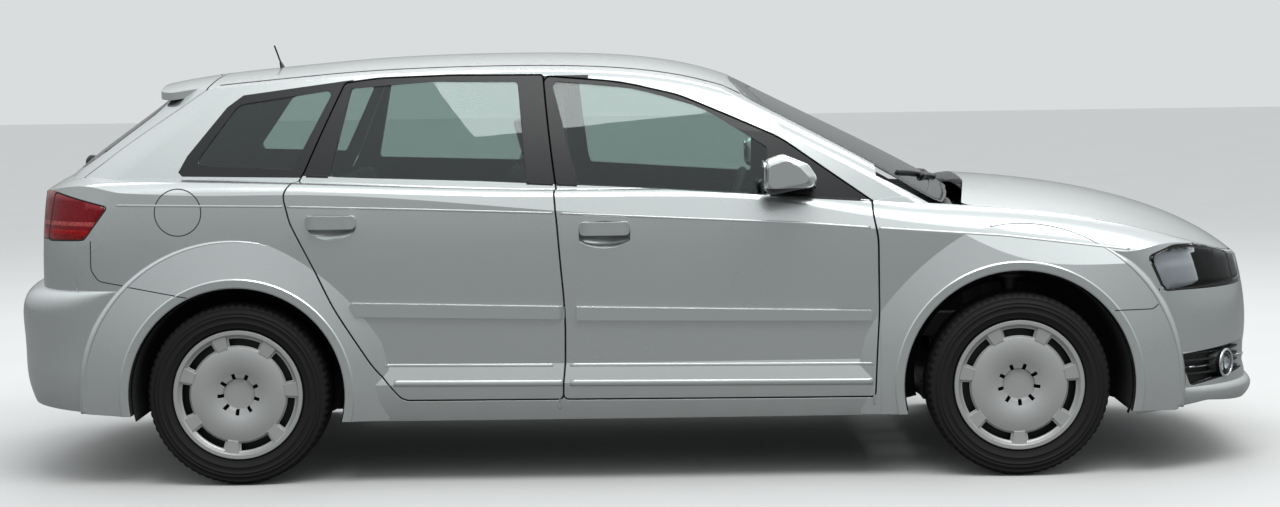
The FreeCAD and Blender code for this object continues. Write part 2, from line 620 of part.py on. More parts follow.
# the rear strip's front end is bevelled about the hinge axis, so that it turns clear of the front door
hinge_x, hinge_y = DOOR_AXES["rear"]
bevel = [(2.0, 40.0), (2.0, 14.4), (13.5, 3.5), (13.5, -3.0), (60.0, -3.0), (60.0, 40.0), (2.0, 40.0)]
strip_end = Part.Face(Part.makePolygon([Vector(hinge_x + u, hinge_y + v, 500) for u, v in bevel])).extrude(
    Vector(0, 0, 130))
for label, rows in STRIPS:
    doors[label] = doors[label].fuse(strip(rows).cut(strip_end))

# Pivot pins on the hinge axes: under each door, beside the hood, and at the roof's rear edge
PIN_R = 3.5
for label, (x, y) in DOOR_AXES.items():
    doors[label] = doors[label].fuse(Part.makeCylinder(PIN_R, 56, Vector(x, y, 246), Vector(0, 0, 1)))
    side = side.cut(Part.makeCylinder(PIN_R + FIT, 58, Vector(x, y, 244), Vector(0, 0, 1)))
HOOD_PIN = (sx(1112), 874.0)
hood_half = hood_half.fuse(Part.makeCylinder(4, 56, Vector(HOOD_PIN[0], sy(702), HOOD_PIN[1]), Vector(0, 1, 0)))
fender = fender.cut(Part.makeCylinder(4 + FIT, 30, Vector(HOOD_PIN[0], sy(730), HOOD_PIN[1]), Vector(0, 1, 0)))
TAIL_PIN = (TAILGATE_X - 12.0, sz(1350))


def on_tail_axis(r, y0, y1):
    return Part.makeCylinder(r, y1 - y0, Vector(TAIL_PIN[0], y0, TAIL_PIN[1]), Vector(0, 1, 0))


tail_lug = on_tail_axis(5, 150, 172).fuse([
    on_tail_axis(2.5, 150, 196), box(TAIL_PIN[0], TAIL_PIN[0] + 30, 150, 172, TAIL_PIN[1] - 8, TAIL_PIN[1] + 1)])
roof_half = roof_half.fuse(tail_lug)
tail_notch = box(TAIL_PIN[0] - 6.5, TAIL_PIN[0] + 30, 148, 173.7, TAIL_PIN[1] - 10, TAIL_PIN[1] + 60)
tail_eye = on_tail_axis(5, 173.7, 196).fuse(box(TAIL_PIN[0] - 14, TAIL_PIN[0], 173.7, 196, TAIL_PIN[1] - 12, TAIL_PIN[1] + 1))

# Glass, set just under the surface of the greenhouse
SET = size("glass_set")
panes_l = plan_loft(GLASSHOUSE, SET).common(LEFT).cut(plan_loft(GLASSHOUSE, SET + size("glass_t")))
front_pane = panes_l.common(side_prism(FRONT_PANE, grow=-FIT))
rear_pane = panes_l.common(side_prism(REAR_PANE, grow=-FIT))
quarter_pane = panes_l.common(side_prism(QUARTER_PANE, grow=-FIT))
screen = whole(panes_l.common(end_prism(WINDSCREEN, sx(180), sx(1300), -FIT)))
tail_pane = whole(panes_l.common(end_prism(TAILGATE_PANE, -2400, sx(-1500), -FIT)))

# Rear bumper shell and spoiler
inner_tail = loft([outline(z, 2112, 3200, 446, sy(868) - 25, 45000, sx(-50), sx(-2070) + 25, 2600, 305) for z in (90, 700)])
bumper_out = plan_loft(REAR_SKIN).common(LEFT).common(rear_bumper_zone).cut([inner_tail, belly] + wells)
rear_bumper = rear_low.fuse(bumper_out)
SPOILER = both([(-1441.5, 545, 0), (-1560, 560, 40), (-1612, 480, 300), (-1645, 200, 900)])
roof_loft = cross_loft(ROOF).common(LEFT)
spoiler = roof_loft.common(top_prism(SPOILER, 1150, 1500)).cut(roof_loft.translated(Vector(0, 0, -26)))
tailgate_half = tailgate_half.fuse(spoiler).cut(tail_notch).fuse(tail_eye).cut(on_tail_axis(2.5 + FIT, 140, 198))

# Front bumper with chin lip, grille and fog lamp openings
inner_nose = loft([outline(z, sx(2112) - 30, 3170, 416, sy(858) - 30, 44970, sx(-50), -2035, 2570, 300) for z in (90, 700)])
chin = plan_loft(CHIN).common(box(sx(1660), 2400, 0, 1000, 190, 300)).cut([inner_nose, belly] + wells)
GRILLE_HOLE = end_prism(both_ends([(380, 616, 16), (398, 676, 16)]), sx(1900), 2400)
INTAKE_HOLE = end_prism(both_ends([(440, 300, 20), (500, 396, 20)]), sx(1900), 2400)
fog_hole = side_prism(FOG_HOLE, y0=545)
front_bumper = front_bumper.fuse(chin).cut([GRILLE_HOLE, INTAKE_HOLE, fog_hole])
GRILLE_BARS = [(GRILLE_HOLE, 620), (GRILLE_HOLE, 642), (GRILLE_HOLE, 664), (INTAKE_HOLE, 316), (INTAKE_HOLE, 342), (INTAKE_HOLE, 368)]
bars = [hole.common(ring_at(z, 10, 20, 8)) for hole, z in GRILLE_BARS]
uprights = [box(sx(2040), sx(2112) - 12, y - 4, y + 4, 616, 676) for y in (-200, 0, 200)]
uprights += [box(sx(2050), sx(2110) - 12, y - 4, y + 4, 300, 396) for y in (-240, 0, 240)]
grille = biggest(bars[0].fuse(bars[1:] + uprights), 2)
FOG_X, FOG_Y, FOG_Z, FOG_R = sx(1961), sy(668), 346.0, 38.0
fog_plate = ring_at(270, 26, 6, 160).common(fog_hole)
fog_lamp = Part.makeCylinder(FOG_R, 110, Vector(FOG_X - 60, FOG_Y, FOG_Z), Vector(1, 0, 0))
fog_ring = Part.makeCylinder(FOG_R + 9, 100, Vector(FOG_X - 44, FOG_Y, FOG_Z), Vector(1, 0, 0))
fog_bars = [ring_at(z, 12, 16, 6).common(fog_hole) for z in (318, 340, 362, 384)]
fog = fog_plate.fuse(fog_bars + [fog_ring, fog_lamp]).common(ring_at(270, 3, 170, 170)).common(fog_hole)

# Panels as nodes
roof_whole = whole(roof_half)
node("roof_panel", roof_whole)
node("side_frame_left", side)
node("side_frame_right", mirrored(biggest(side)))
node("floor_pan", whole(floor_half.fuse(bulkhead)))
node("cowl", whole(cowl))
node("front_fenders", pair(biggest(fender)), 2)
node("front_bumper", whole(front_bumper))
node("rear_bumper", whole(biggest(rear_bumper)))
node("front_grille", grille, 2)
node("fog_lamps", pair(biggest(fog)), 2)
node("headlamps", pair(biggest(lamp)), 2)
node("tail_lamps", pair(biggest(tail_lamp)), 2)
node("windscreen", screen)
node("quarter_glass", pair(biggest(quarter_pane)), 2)
node("hood", whole(hood_half))
node("tailgate", whole(tailgate_half))
node("tailgate_glass", tail_pane)
node("door_front_left", doors["front"])
node("door_front_right", mirrored(biggest(doors["front"])))
node("door_rear_left", doors["rear"])
node("door_rear_right", mirrored(biggest(doors["rear"])))
for label, pane in (("front", front_pane), ("rear", rear_pane)):
    node("glass_%s_left" % label, biggest(pane))
    node("glass_%s_right" % label, mirrored(biggest(pane)))


# Wheel arch liners
def liner(x, r, y0, zone, z0):
    ring = Part.makeCylinder(r + 5, 400, Vector(x, y0, AXLE_Z), Vector(0, 1, 0))
    ring = ring.cut(Part.makeCylinder(r, 400, Vector(x, y0, AXLE_Z), Vector(0, 1, 0)))
    return ring.common(zone).common(box(x - 500, x + 500, y0, 1000, z0, 900))


rear_liner = liner(RA, R_REAR, 590.0, room_low, BOOT_FLOOR)
rear_liner = rear_liner.fuse(Part.makeCylinder(R_REAR + 5, 6, Vector(RA, 584, AXLE_Z), Vector(0, 1, 0)).common(
    box(RA - 500, RA + 500, 580, 1000, BOOT_FLOOR, 900)))
front_liner = liner(FA, R_FRONT, 600.0, bay, 250.0)
STRUT_Y = size("front_track") / 2 - size("kingpin_in") - 88.0
front_liner = front_liner.cut(Part.makeCylinder(58, 120, Vector(FA, STRUT_Y, 620), Vector(0, 0, 1)))
node("arch_liners", Part.makeCompound([biggest(rear_liner), biggest(front_liner)] + [
    mirrored(biggest(rear_liner)), mirrored(biggest(front_liner))]), 4)

# Wheels: profiles turned about the axle, outer side at +v; v is measured from the middle of the tyre
TW = size("tyre_w") / 2.0
TR = size("tyre_r")
RR = size("rim_r")


def turned(rows, bulge=None):
    # rows of (radius, v); a row with a third value is the middle of an arc
    edges = []
    n = len(rows)
    i = 0
    while i < n:
        a = rows[i]
        b = rows[(i + 1) % n]
        if len(b) == 3:
            c = rows[(i + 2) % n]
            edges.append(Part.Arc(Vector(0, a[1], a[0]), Vector(0, b[1], b[0]), Vector(0, c[1], c[0])).toShape())
            i += 2
        else:
            edges.append(Part.LineSegment(Vector(0, a[1], a[0]), Vector(0, b[1], b[0])).toShape())
            i += 1
    return Part.Face(Part.Wire(edges)).revolve(Vector(0, 0, 0), Vector(0, 1, 0), 360)


RW = TW - 9.0
BEAD = RR - 8.0
tyre = turned([
    (BEAD + FIT, -RW + 14), (RR + 1, -RW + 8), (TR - 42, -TW, 1), (TR - 12, -TW + 9), (TR - 3, -TW + 16, 1),
    (TR, -TW + 30), (TR, TW - 30), (TR - 3, TW - 16, 1), (TR - 12, TW - 9), (TR - 42, TW, 1), (RR + 1, RW - 8),
    (BEAD + FIT, RW - 14)])
tyre = tyre.common(box(-400, 400, -200, 200, -400, 400))
rim = turned([
    (RR, -RW + 6), (RR, -RW), (RR - 9, -RW), (RR - 15, -RW + 18), (RR - 20, 20), (RR - 20, 26), (114, 36), (86, 12),
    (size("hub_bore") / 2, 12), (size("hub_bore") / 2, 26), (80, 26), (108, 44), (RR - 22, 38), (RR - 15, RW - 18),
    (RR - 9, RW), (RR, RW), (RR, RW - 6), (BEAD, RW - 12), (BEAD, -RW + 12)])
for i in range(int(size("bolt_n"))):
    a = math.radians(360.0 * i / size("bolt_n") + 90)
    r = size("bolt_pcd") / 2
    rim = rim.cut(Part.makeCylinder(7, 40, Vector(r * math.cos(a), 0, r * math.sin(a)), Vector(0, 1, 0)))
# Wheel cover: domed disc inside a slotted ring, seven raised tabs across it, notched collar round a plain hub disc
CR = size("cover_r")
LIP = RW + FIT
SLOT_IN, SLOT_OUT = CR - 51.0, CR - 26.5
cover = turned([
    (12, 66), (50, 66), (54, 78), (70, 82), (115, 90, 1), (CR - 57, 86), (CR - 52, 79.5), (CR - 24, 82.2),
    (CR - 20.5, 85.5), (CR - 13, LIP + 2), (CR - 1, LIP + 2.4), (CR, LIP + 1.4), (CR, LIP), (CR - 10, LIP),
    (CR - 13.5, LIP - 2.5), (CR - 19, 82.5), (CR - 23, 79), (CR - 53, 76), (CR - 60, 82.5), (115, 86.5, 1),
    (70, 78.5), (57, 75), (53, 63), (12, 63)])
N = int(size("spoke_n"))
TAB_HALF = 9.3
HALF_SLOT = math.radians(180.0 / N - TAB_HALF)
slot_ring = Part.makeCylinder(SLOT_OUT, 40, Vector(0, 60, 0), Vector(0, 1, 0)).cut(
    Part.makeCylinder(SLOT_IN, 40, Vector(0, 60, 0), Vector(0, 1, 0)))
far = CR * 1.3
pie = Part.Face(Part.makePolygon([
    Vector(0, 60, 0), Vector(far * math.cos(HALF_SLOT), 60, -far * math.sin(HALF_SLOT)),
    Vector(far * math.cos(HALF_SLOT), 60, far * math.sin(HALF_SLOT)), Vector(0, 60, 0)])).extrude(Vector(0, 40, 0))
slot = slot_ring.common(pie)
tab = turned([
    (CR - 59.5, 84.3), (CR - 59.5, 88.4), (CR - 38, 89.6), (CR - 15, 91), (CR - 16, 89), (CR - 20, 82.7), (CR - 22, 80.6),
    (CR - 53.5, 77.9)])
tab = tab.common(Part.Face(Part.makePolygon([
    Vector(CR - 75, 70, -15.5), Vector(CR - 5, 70, -26), Vector(CR - 5, 70, 26), Vector(CR - 75, 70, 15.5),
    Vector(CR - 75, 70, -15.5)])).extrude(Vector(0, 30, 0)))
slots, tabs = [], []
for i in range(N):
    for shape, a, out in ((slot, 360.0 * (i + 0.5) / N, slots), (tab, 360.0 * i / N, tabs)):
        turn = shape.copy()
        turn.rotate(Vector(0, 0, 0), Vector(0, 1, 0), -a)
        out.append(turn)
cover = cover.cut(slots).fuse(tabs)
NOTCHES = 9
notches = []
for i in range(NOTCHES):
    notch = Part.makeBox(20, 60, 12, Vector(50.5, 60, -6))
    notch.rotate(Vector(0, 0, 0), Vector(0, 1, 0), -360.0 * (i + 0.5) / NOTCHES)
    notches.append(notch)
cover = cover.cut(notches)
cover = cover.fuse(Part.makeCylinder(13, 3, Vector(0, 63, 0), Vector(0, 1, 0)))
# how far each cover is turned, as parked
COVER_TURN = {"front": 13.0, "rear": 5.0}
rim = rim.fuse(turned([(60, -12), (140, -12), (140, 8), (84, 8), (84, 14), (60, 14)]))

YF = size("front_track") / 2
YR = size("rear_track") / 2
WHEELS = [("front_left", FA, YF, 1), ("front_right", FA, -YF, -1), ("rear_left", RA, YR, 1), ("rear_right", RA, -YR, -1)]
for label, x, y, s in WHEELS:
    turned_cover = cover.copy()
    turned_cover.rotate(Vector(0, 0, 0), Vector(0, 1, 0), -COVER_TURN[label.split("_")[0]])
    for kind, shape in (("tyre", tyre), ("rim", rim), ("cover", turned_cover)):
        q = shape if s > 0 else mirrored(shape)
        node("%s_%s" % (kind, label), q.translated(Vector(x, y, AXLE_Z)))

# Front knuckles, turning about an upright axis, and the rear axle
KING = YF - size("kingpin_in")
STUB_R = size("hub_bore") / 2 - FIT
ARM_Z = 198.0
ARM_T = 26.0
knuckle = Part.makeCylinder(STUB_R, YF + 22 - (KING - 50), Vector(FA, KING - 50, AXLE_Z), Vector(0, 1, 0))
knuckle = knuckle.fuse([
    Part.makeCylinder(46, 60, Vector(FA, KING - 50, AXLE_Z), Vector(0, 1, 0)),
    box(FA - 30, FA + 30, KING - 76, KING - 50, 236, 560),
    box(FA - 24, FA + 24, KING - 76, KING + 20, 234, 260),
    Part.makeCylinder(14, 30, Vector(FA, KING, ARM_Z + ARM_T + FIT), Vector(0, 0, 1)),
    box(FA - 24, FA + 24, KING - 112, KING - 50, 536, 584)])
node("knuckle_left", knuckle)
node("knuckle_right", mirrored(knuckle))
RAIL_Z = 420.0
TOWER_Z = 828.0
strut = Part.makeCylinder(26, TOWER_Z - 590, Vector(FA, STRUT_Y, 590), Vector(0, 0, 1)).fuse([
    Part.makeCylinder(62, 12, Vector(FA, STRUT_Y, 640), Vector(0, 0, 1)),
    Part.makeCylinder(52, TOWER_Z - 670, Vector(FA, STRUT_Y, 652), Vector(0, 0, 1)),
    Part.makeCylinder(72, 20, Vector(FA, STRUT_Y, TOWER_Z - 32), Vector(0, 0, 1)),
    box(FA - 394, sx(2020), 380, 440, RAIL_Z, 500),
    box(FA - 90, FA + 90, 430, KING - 20, TOWER_Z - 12, TOWER_Z),
    box(FA - 70, FA + 70, 380, 430, 500, TOWER_Z)])
node("front_struts", pair(strut), 2)
arm = Part.Face(rounded([(FA + 30, 290, 10), (FA + 26, KING + 18, 20), (FA - 26, KING + 18, 20), (FA - 250, 290, 40)],
                        lambda u, v: Vector(u, v, ARM_Z))).extrude(Vector(0, 0, ARM_T))
leg = box(FA - 250, FA - 200, 280, 430, 180, 232).fuse(box(FA - 250, FA - 200, 385, 430, 200, RAIL_Z))
front_frame = box(FA - 260, FA + 120, -300, 300, 180, 232).fuse([arm, mirrored(arm), leg, mirrored(leg)])
node("front_subframe", front_frame)

STEP_X = sx(-1040)
beam_x = STEP_X - 40
rear_axle = Part.makeCylinder(36, 1060, Vector(beam_x, -530, 260), Vector(0, 1, 0))
for s in (1, -1):
    y = s * 530
    rear_axle = rear_axle.fuse([
        box(RA - 40, STEP_X, min(y, y + s * 36), max(y, y + s * 36), 236, 296),
        box(RA - 40, RA + 40, min(y, y + s * 72), max(y, y + s * 72), 242, 296),
        Part.makeCylinder(STUB_R, YR + 22 - 592, Vector(RA, s * 592, AXLE_Z), Vector(0, s, 0)),
        Part.makeCylinder(60, 28, Vector(RA, s * 592, AXLE_Z), Vector(0, s, 0))])
node("rear_axle", rear_axle)

# Parametric primitives: engine, exhaust, steering wheel
def primitive(kind, name, at, **expr):
    obj = doc.addObject("Part::" + kind, name)
    for prop, text in expr.items():
        obj.setExpression(prop, text)
    obj.Placement = at
    return obj


engine = primitive("Box", "engine_block", Placement(Vector(FA - 120, -size("engine_w") / 2, 232), Rotation()),
                   Length="Sizes.engine_l", Width="Sizes.engine_w", Height="Sizes.engine_h")
nodes.append(engine)
EX_Z = 160.0
ALONG = Rotation(Vector(0, 1, 0), 90)
pipe = primitive("Cylinder", "pipe", Placement(Vector(sx(-1500), 60, EX_Z + 8), ALONG), Radius="Sizes.exhaust_r")
pipe.Height = FA - 260 - FIT - sx(-1500)
muffler = primitive("Box", "muffler", Placement(Vector(sx(-1900), -140, 160), Rotation()), Length="410 mm",
                    Width="420 mm", Height="140 mm")
tail_pipe = primitive("Cylinder", "tail_pipe", Placement(Vector(sx(-2110), 230, 225), ALONG),
                      Radius="Sizes.exhaust_r", Height="240 mm")
hangers = []
for i, x in enumerate((-700.0, 0.0, 700.0)):
    hangers.append(primitive("Box", "hanger_%d" % i, Placement(Vector(sx(x), 50, EX_Z), Rotation()), Length="20 mm",
                             Width="20 mm"))
    hangers[-1].Height = size("floor_z") - EX_Z
exhaust = doc.addObject("Part::MultiFuse", "exhaust")
exhaust.Shapes = [pipe, muffler, tail_pipe] + hangers
nodes.append(exhaust)


# Cabin
def extruded(rows, y0, y1):
    return Part.Face(rounded(rows, lambda u, v: Vector(u, y0, v))).extrude(Vector(0, y1 - y0, 0))


DASH = [(CABIN_X - FIT, 600, 0), (CABIN_X - FIT, 905, 0), (sx(620), 900, 60), (sx(520), 872, 60), (sx(505), 800, 40),
        (sx(580), 640, 60), (sx(640), 600, 30)]
dash = extruded(DASH, -sy(686), sy(686))
node("dashboard", dash)
SW = Placement(Vector(sx(330), 370, 800), Rotation(Vector(0, 1, 0), -66))
wheel_rim = primitive("Torus", "wheel_rim", SW, Radius1="Sizes.steer_wheel_r - Sizes.steer_rim_r",
                      Radius2="Sizes.steer_rim_r")
wheel_hub = primitive("Cylinder", "wheel_hub", SW.multiply(Placement(Vector(0, 0, -22), Rotation())),
                      Radius="70 mm", Height="40 mm")
column = primitive("Cylinder", "column", SW.multiply(Placement(Vector(0, 0, -300), Rotation())), Radius="34 mm",
                   Height="290 mm")
spoke = primitive("Box", "spoke", SW.multiply(Placement(Vector(-16, -180, -10), Rotation())), Length="32 mm",
                  Width="360 mm", Height="16 mm")
wheel_parts = doc.addObject("Part::MultiFuse", "wheel_parts")
wheel_parts.Shapes = [wheel_rim, wheel_hub, column, spoke]
steering_wheel = doc.addObject("Part::Cut", "steering_wheel")
steering_wheel.Base = wheel_parts
steering_wheel.Tool = doc.getObject("dashboard")
nodes.append(steering_wheel)
SEAT_Y = 365.0
CUSHION = [(sx(-260), 330, 30), (sx(250), 350, 60), (sx(260), 470, 50), (sx(0), 480, 300), (sx(-240), 430, 60)]
BACK = [(sx(-226), 372, 20), (sx(-130), 400, 20), (sx(-150), 480, 40), (sx(-260), 760, 300), (sx(-360), 1040, 40),
        (sx(-440), 1040, 40), (sx(-350), 560, 300)]
HEAD = [(sx(-385), 1060, 30), (sx(-320), 1060, 30), (sx(-350), 1190, 40), (sx(-420), 1190, 40)]
STALK = [(sx(-405), 1030, 0), (sx(-385), 1030, 0), (sx(-375), 1080, 0), (sx(-395), 1080, 0)]
BASE = [(sx(-200), FLOOR_TOP, 0), (sx(200), FLOOR_TOP, 0), (sx(200), 352, 0), (sx(-200), 352, 0)]
seat = extruded(CUSHION, SEAT_Y - 250, SEAT_Y + 250).fuse([
    extruded(BACK, SEAT_Y - 240, SEAT_Y + 240), extruded(HEAD, SEAT_Y - 130, SEAT_Y + 130),
    extruded(STALK, SEAT_Y - 60, SEAT_Y + 60), extruded(BASE, SEAT_Y - 200, SEAT_Y + 200)])
node("front_seats", pair(seat), 2)
bench = extruded([(sx(-985), FLOOR_TOP, 0), (sx(-500), FLOOR_TOP, 0), (sx(-440), 470, 60), (sx(-860), 440, 60),
                  (sx(-960), 860, 200), (sx(-990), 1000, 40), (sx(-1070), 1000, 40), (sx(-985), 560, 100)], -560, 560)
node("rear_bench", bench)


# Mirrors: a lofted cap on an arm that stands on the door
def mirror_cut(y, x0, x1, z0, z1, r):
    return rounded([(x0, z0, r * 0.7), (x1, z0 + (z1 - z0) * 0.25, r * 0.6), (x1 - 45, z0 + (z1 - z0) * 0.75, r),
                    (x0 + 60, z1, r), (x0, z1 - 20, r * 0.7)], lambda u, v: Vector(u, y, v))


cap = loft([mirror_cut(sy(842), sx(455), sx(560), 972, 1040, 24), mirror_cut(sy(880), sx(432), sx(605), 946, 1070, 40),
            mirror_cut(sy(950), sx(427), sx(614), 942, 1076, 44), mirror_cut(sy(1000), sx(440), sx(585), 966, 1060, 34)])
foot = box(sx(480), sx(600), sy(790), sy(860), 958, 990)
mirror_left = cap.fuse(foot).cut(doors["front"])
node("mirror_left", biggest(mirror_left))
node("mirror_right", mirrored(biggest(mirror_left)))

# Antenna, wipers
antenna = Part.makeCone(9, 4, 22, Vector(sx(-1263), 0, sz(1372)), Vector(-0.35, 0, 1))
antenna = antenna.fuse(Part.makeCylinder(3, 84, Vector(sx(-1263), 0, sz(1372)), Vector(-0.35, 0, 1)))
node("antenna", antenna.cut(roof_whole))

doc.recompute()
os.makedirs("parts", exist_ok=True)
for obj in nodes:
    if "Invalid" in obj.State or not obj.Shape.isValid() or not obj.Shape.Solids:
        raise ValueError("bad shape in " + obj.Name)
    obj.Shape.exportStep("parts/%s.step" % obj.Name)
print(len(nodes), "nodes")
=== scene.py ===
import math

import bpy
import bmesh
from mathutils import Matrix, Vector
from mathutils.bvhtree import BVHTree


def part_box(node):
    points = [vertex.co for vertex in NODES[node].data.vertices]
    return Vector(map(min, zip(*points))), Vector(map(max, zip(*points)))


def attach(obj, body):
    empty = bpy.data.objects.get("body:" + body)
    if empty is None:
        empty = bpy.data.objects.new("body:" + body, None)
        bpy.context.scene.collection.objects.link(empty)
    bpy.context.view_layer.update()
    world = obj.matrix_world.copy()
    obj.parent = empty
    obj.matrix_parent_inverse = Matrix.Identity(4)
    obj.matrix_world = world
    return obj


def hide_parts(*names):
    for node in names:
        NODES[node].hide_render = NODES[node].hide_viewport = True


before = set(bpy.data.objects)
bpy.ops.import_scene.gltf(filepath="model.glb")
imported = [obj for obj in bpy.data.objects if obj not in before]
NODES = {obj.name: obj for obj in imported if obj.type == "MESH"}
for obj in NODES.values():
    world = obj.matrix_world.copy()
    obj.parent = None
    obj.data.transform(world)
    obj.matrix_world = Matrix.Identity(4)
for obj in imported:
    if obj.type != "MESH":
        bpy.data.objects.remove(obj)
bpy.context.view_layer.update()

# Metres, x forward, y to the left, z up, ground at zero
SIDES = (("left", 1), ("right", -1))
FRONT_X, FRONT_Y = 1.264, 0.767
REAR_X, REAR_Y = -1.314, 0.7535
AXLE_Z = 0.302
FRONT_ARCH, REAR_ARCH = 0.380, 0.357
WHEELS = (("front_left", FRONT_X, FRONT_Y, 1), ("front_right", FRONT_X, -FRONT_Y, -1),
          ("rear_left", REAR_X, REAR_Y, 1), ("rear_right", REAR_X, -REAR_Y, -1))
# height of the line under the side windows: base, times x, times x squared
BELT = (0.96411, -0.05878, -0.011145)
# a point counts as outside where its normal leads away from the nearest point of this span
SPINE_X, SPINE_Z = 1.3, 0.62


# Materials are built from nodes through this small writer
class Tree:
    def __init__(self, name):
        self.mat = bpy.data.materials.new(name)
        self.mat.use_nodes = True
        self.nt = self.mat.node_tree
        self.out = self.nt.nodes["Material Output"]
        self.bsdf = self.nt.nodes["Principled BSDF"]
        self.coords = self.nt.nodes.new("ShaderNodeTexCoord")
        self.xyz = None

    def link(self, a, b):
        self.nt.links.new(a, b)

    def put(self, socket, value):
        if isinstance(value, bpy.types.NodeSocket):
            self.link(value, socket)
        elif isinstance(value, (tuple, list)) and len(value) == 3 and socket.type == "RGBA":
            socket.default_value = (*value, 1.0)
        else:
            socket.default_value = value

    def set(self, **values):
        for key, value in values.items():
            self.put(self.bsdf.inputs[key.replace("_", " ")], value)
        return self

    def math(self, op, a, b=0.0, clamp=False):
        n = self.nt.nodes.new("ShaderNodeMath")
        n.operation = op
        n.use_clamp = clamp
        self.put(n.inputs[0], a)
        self.put(n.inputs[1], b)
        return n.outputs[0]

    def axis(self, i):
        if self.xyz is None:
            n = self.nt.nodes.new("ShaderNodeSeparateXYZ")
            self.link(self.coords.outputs["Object"], n.inputs[0])
            self.xyz = n
        return self.xyz.outputs[i]

    def noise(self, scale, detail=3.0, rough=0.55):
        n = self.nt.nodes.new("ShaderNodeTexNoise")
        n.inputs["Scale"].default_value = scale
        n.inputs["Detail"].default_value = detail
        n.inputs["Roughness"].default_value = rough
        self.link(self.coords.outputs["Object"], n.inputs["Vector"])
        return n.outputs["Fac"]

    def cells(self, scale):
        n = self.nt.nodes.new("ShaderNodeTexVoronoi")
        n.inputs["Scale"].default_value = scale
        self.link(self.coords.outputs["Object"], n.inputs["Vector"])
        return n.outputs["Distance"]

    def mix(self, fac, a, b):
        n = self.nt.nodes.new("ShaderNodeMix")
        n.data_type = "RGBA"
        self.put(n.inputs["Factor"], fac)
        self.put(n.inputs[6], a)
        self.put(n.inputs[7], b)
        return n.outputs[2]

    def mixf(self, fac, a, b):
        n = self.nt.nodes.new("ShaderNodeMix")
        n.data_type = "FLOAT"
        self.put(n.inputs["Factor"], fac)
        self.put(n.inputs[2], a)
        self.put(n.inputs[3], b)
        return n.outputs[0]

    def bump(self, height, strength=0.2, distance=0.001, normal=None):
        n = self.nt.nodes.new("ShaderNodeBump")
        n.inputs["Strength"].default_value = strength
        n.inputs["Distance"].default_value = distance
        self.link(height, n.inputs["Height"])
        if normal is not None:
            self.link(normal, n.inputs["Normal"])
        return n.outputs[0]

    def edge(self, radius):
        n = self.nt.nodes.new("ShaderNodeBevel")
        n.samples = 4
        n.inputs["Radius"].default_value = radius
        return n.outputs[0]

    # 1 where a face looks into the car or the ground, from its own normal and place
    def inside(self):
        span = self.nt.nodes.new("ShaderNodeClamp")
        self.link(self.axis(0), span.inputs[0])
        span.inputs[1].default_value = -SPINE_X
        span.inputs[2].default_value = SPINE_X
        spine = self.nt.nodes.new("ShaderNodeCombineXYZ")
        self.link(span.outputs[0], spine.inputs[0])
        spine.inputs[2].default_value = SPINE_Z
        sub = self.nt.nodes.new("ShaderNodeVectorMath")
        sub.operation = "SUBTRACT"
        self.link(self.coords.outputs["Object"], sub.inputs[0])
        self.link(spine.outputs[0], sub.inputs[1])
        dot = self.nt.nodes.new("ShaderNodeVectorMath")
        dot.operation = "DOT_PRODUCT"
        self.link(sub.outputs[0], dot.inputs[0])
        self.link(self.coords.outputs["Normal"], dot.inputs[1])
        return self.math("LESS_THAN", dot.outputs["Value"], -0.06)

    # 1 inside a convex outline given in side view
    def within(self, points):
        n = len(points)
        cx = sum(p[0] for p in points) / n
        cy = sum(p[1] for p in points) / n
        worst = None
        for k in range(n):
            (x0, y0), (x1, y1) = points[k], points[(k + 1) % n]
            nx, ny = y1 - y0, x0 - x1
            le = math.hypot(nx, ny)
            nx, ny = nx / le, ny / le
            d = nx * x0 + ny * y0
            if nx * cx + ny * cy > d:
                nx, ny, d = -nx, -ny, -d
            sx = self.math("MULTIPLY", self.axis(0), nx)
            sz = self.math("MULTIPLY", self.axis(2), ny)
            s = self.math("SUBTRACT", self.math("ADD", sx, sz), d)
            worst = s if worst is None else self.math("MAXIMUM", worst, s)
        return self.math("LESS_THAN", worst, 0.0)

    # 1 above the line under the side windows
    def over_belt(self, up=0.0):
        x = self.axis(0)
        quad = self.math("MULTIPLY", self.math("MULTIPLY", x, x), BELT[2])
        line = self.math("ADD", self.math("MULTIPLY", x, BELT[1]), BELT[0] + up)
        return self.math("GREATER_THAN", self.axis(2), self.math("ADD", quad, line))


def shades(color, spread):
    return tuple(v * (1.0 - spread) for v in color), tuple(min(1.0, v * (1.0 + spread)) for v in color)


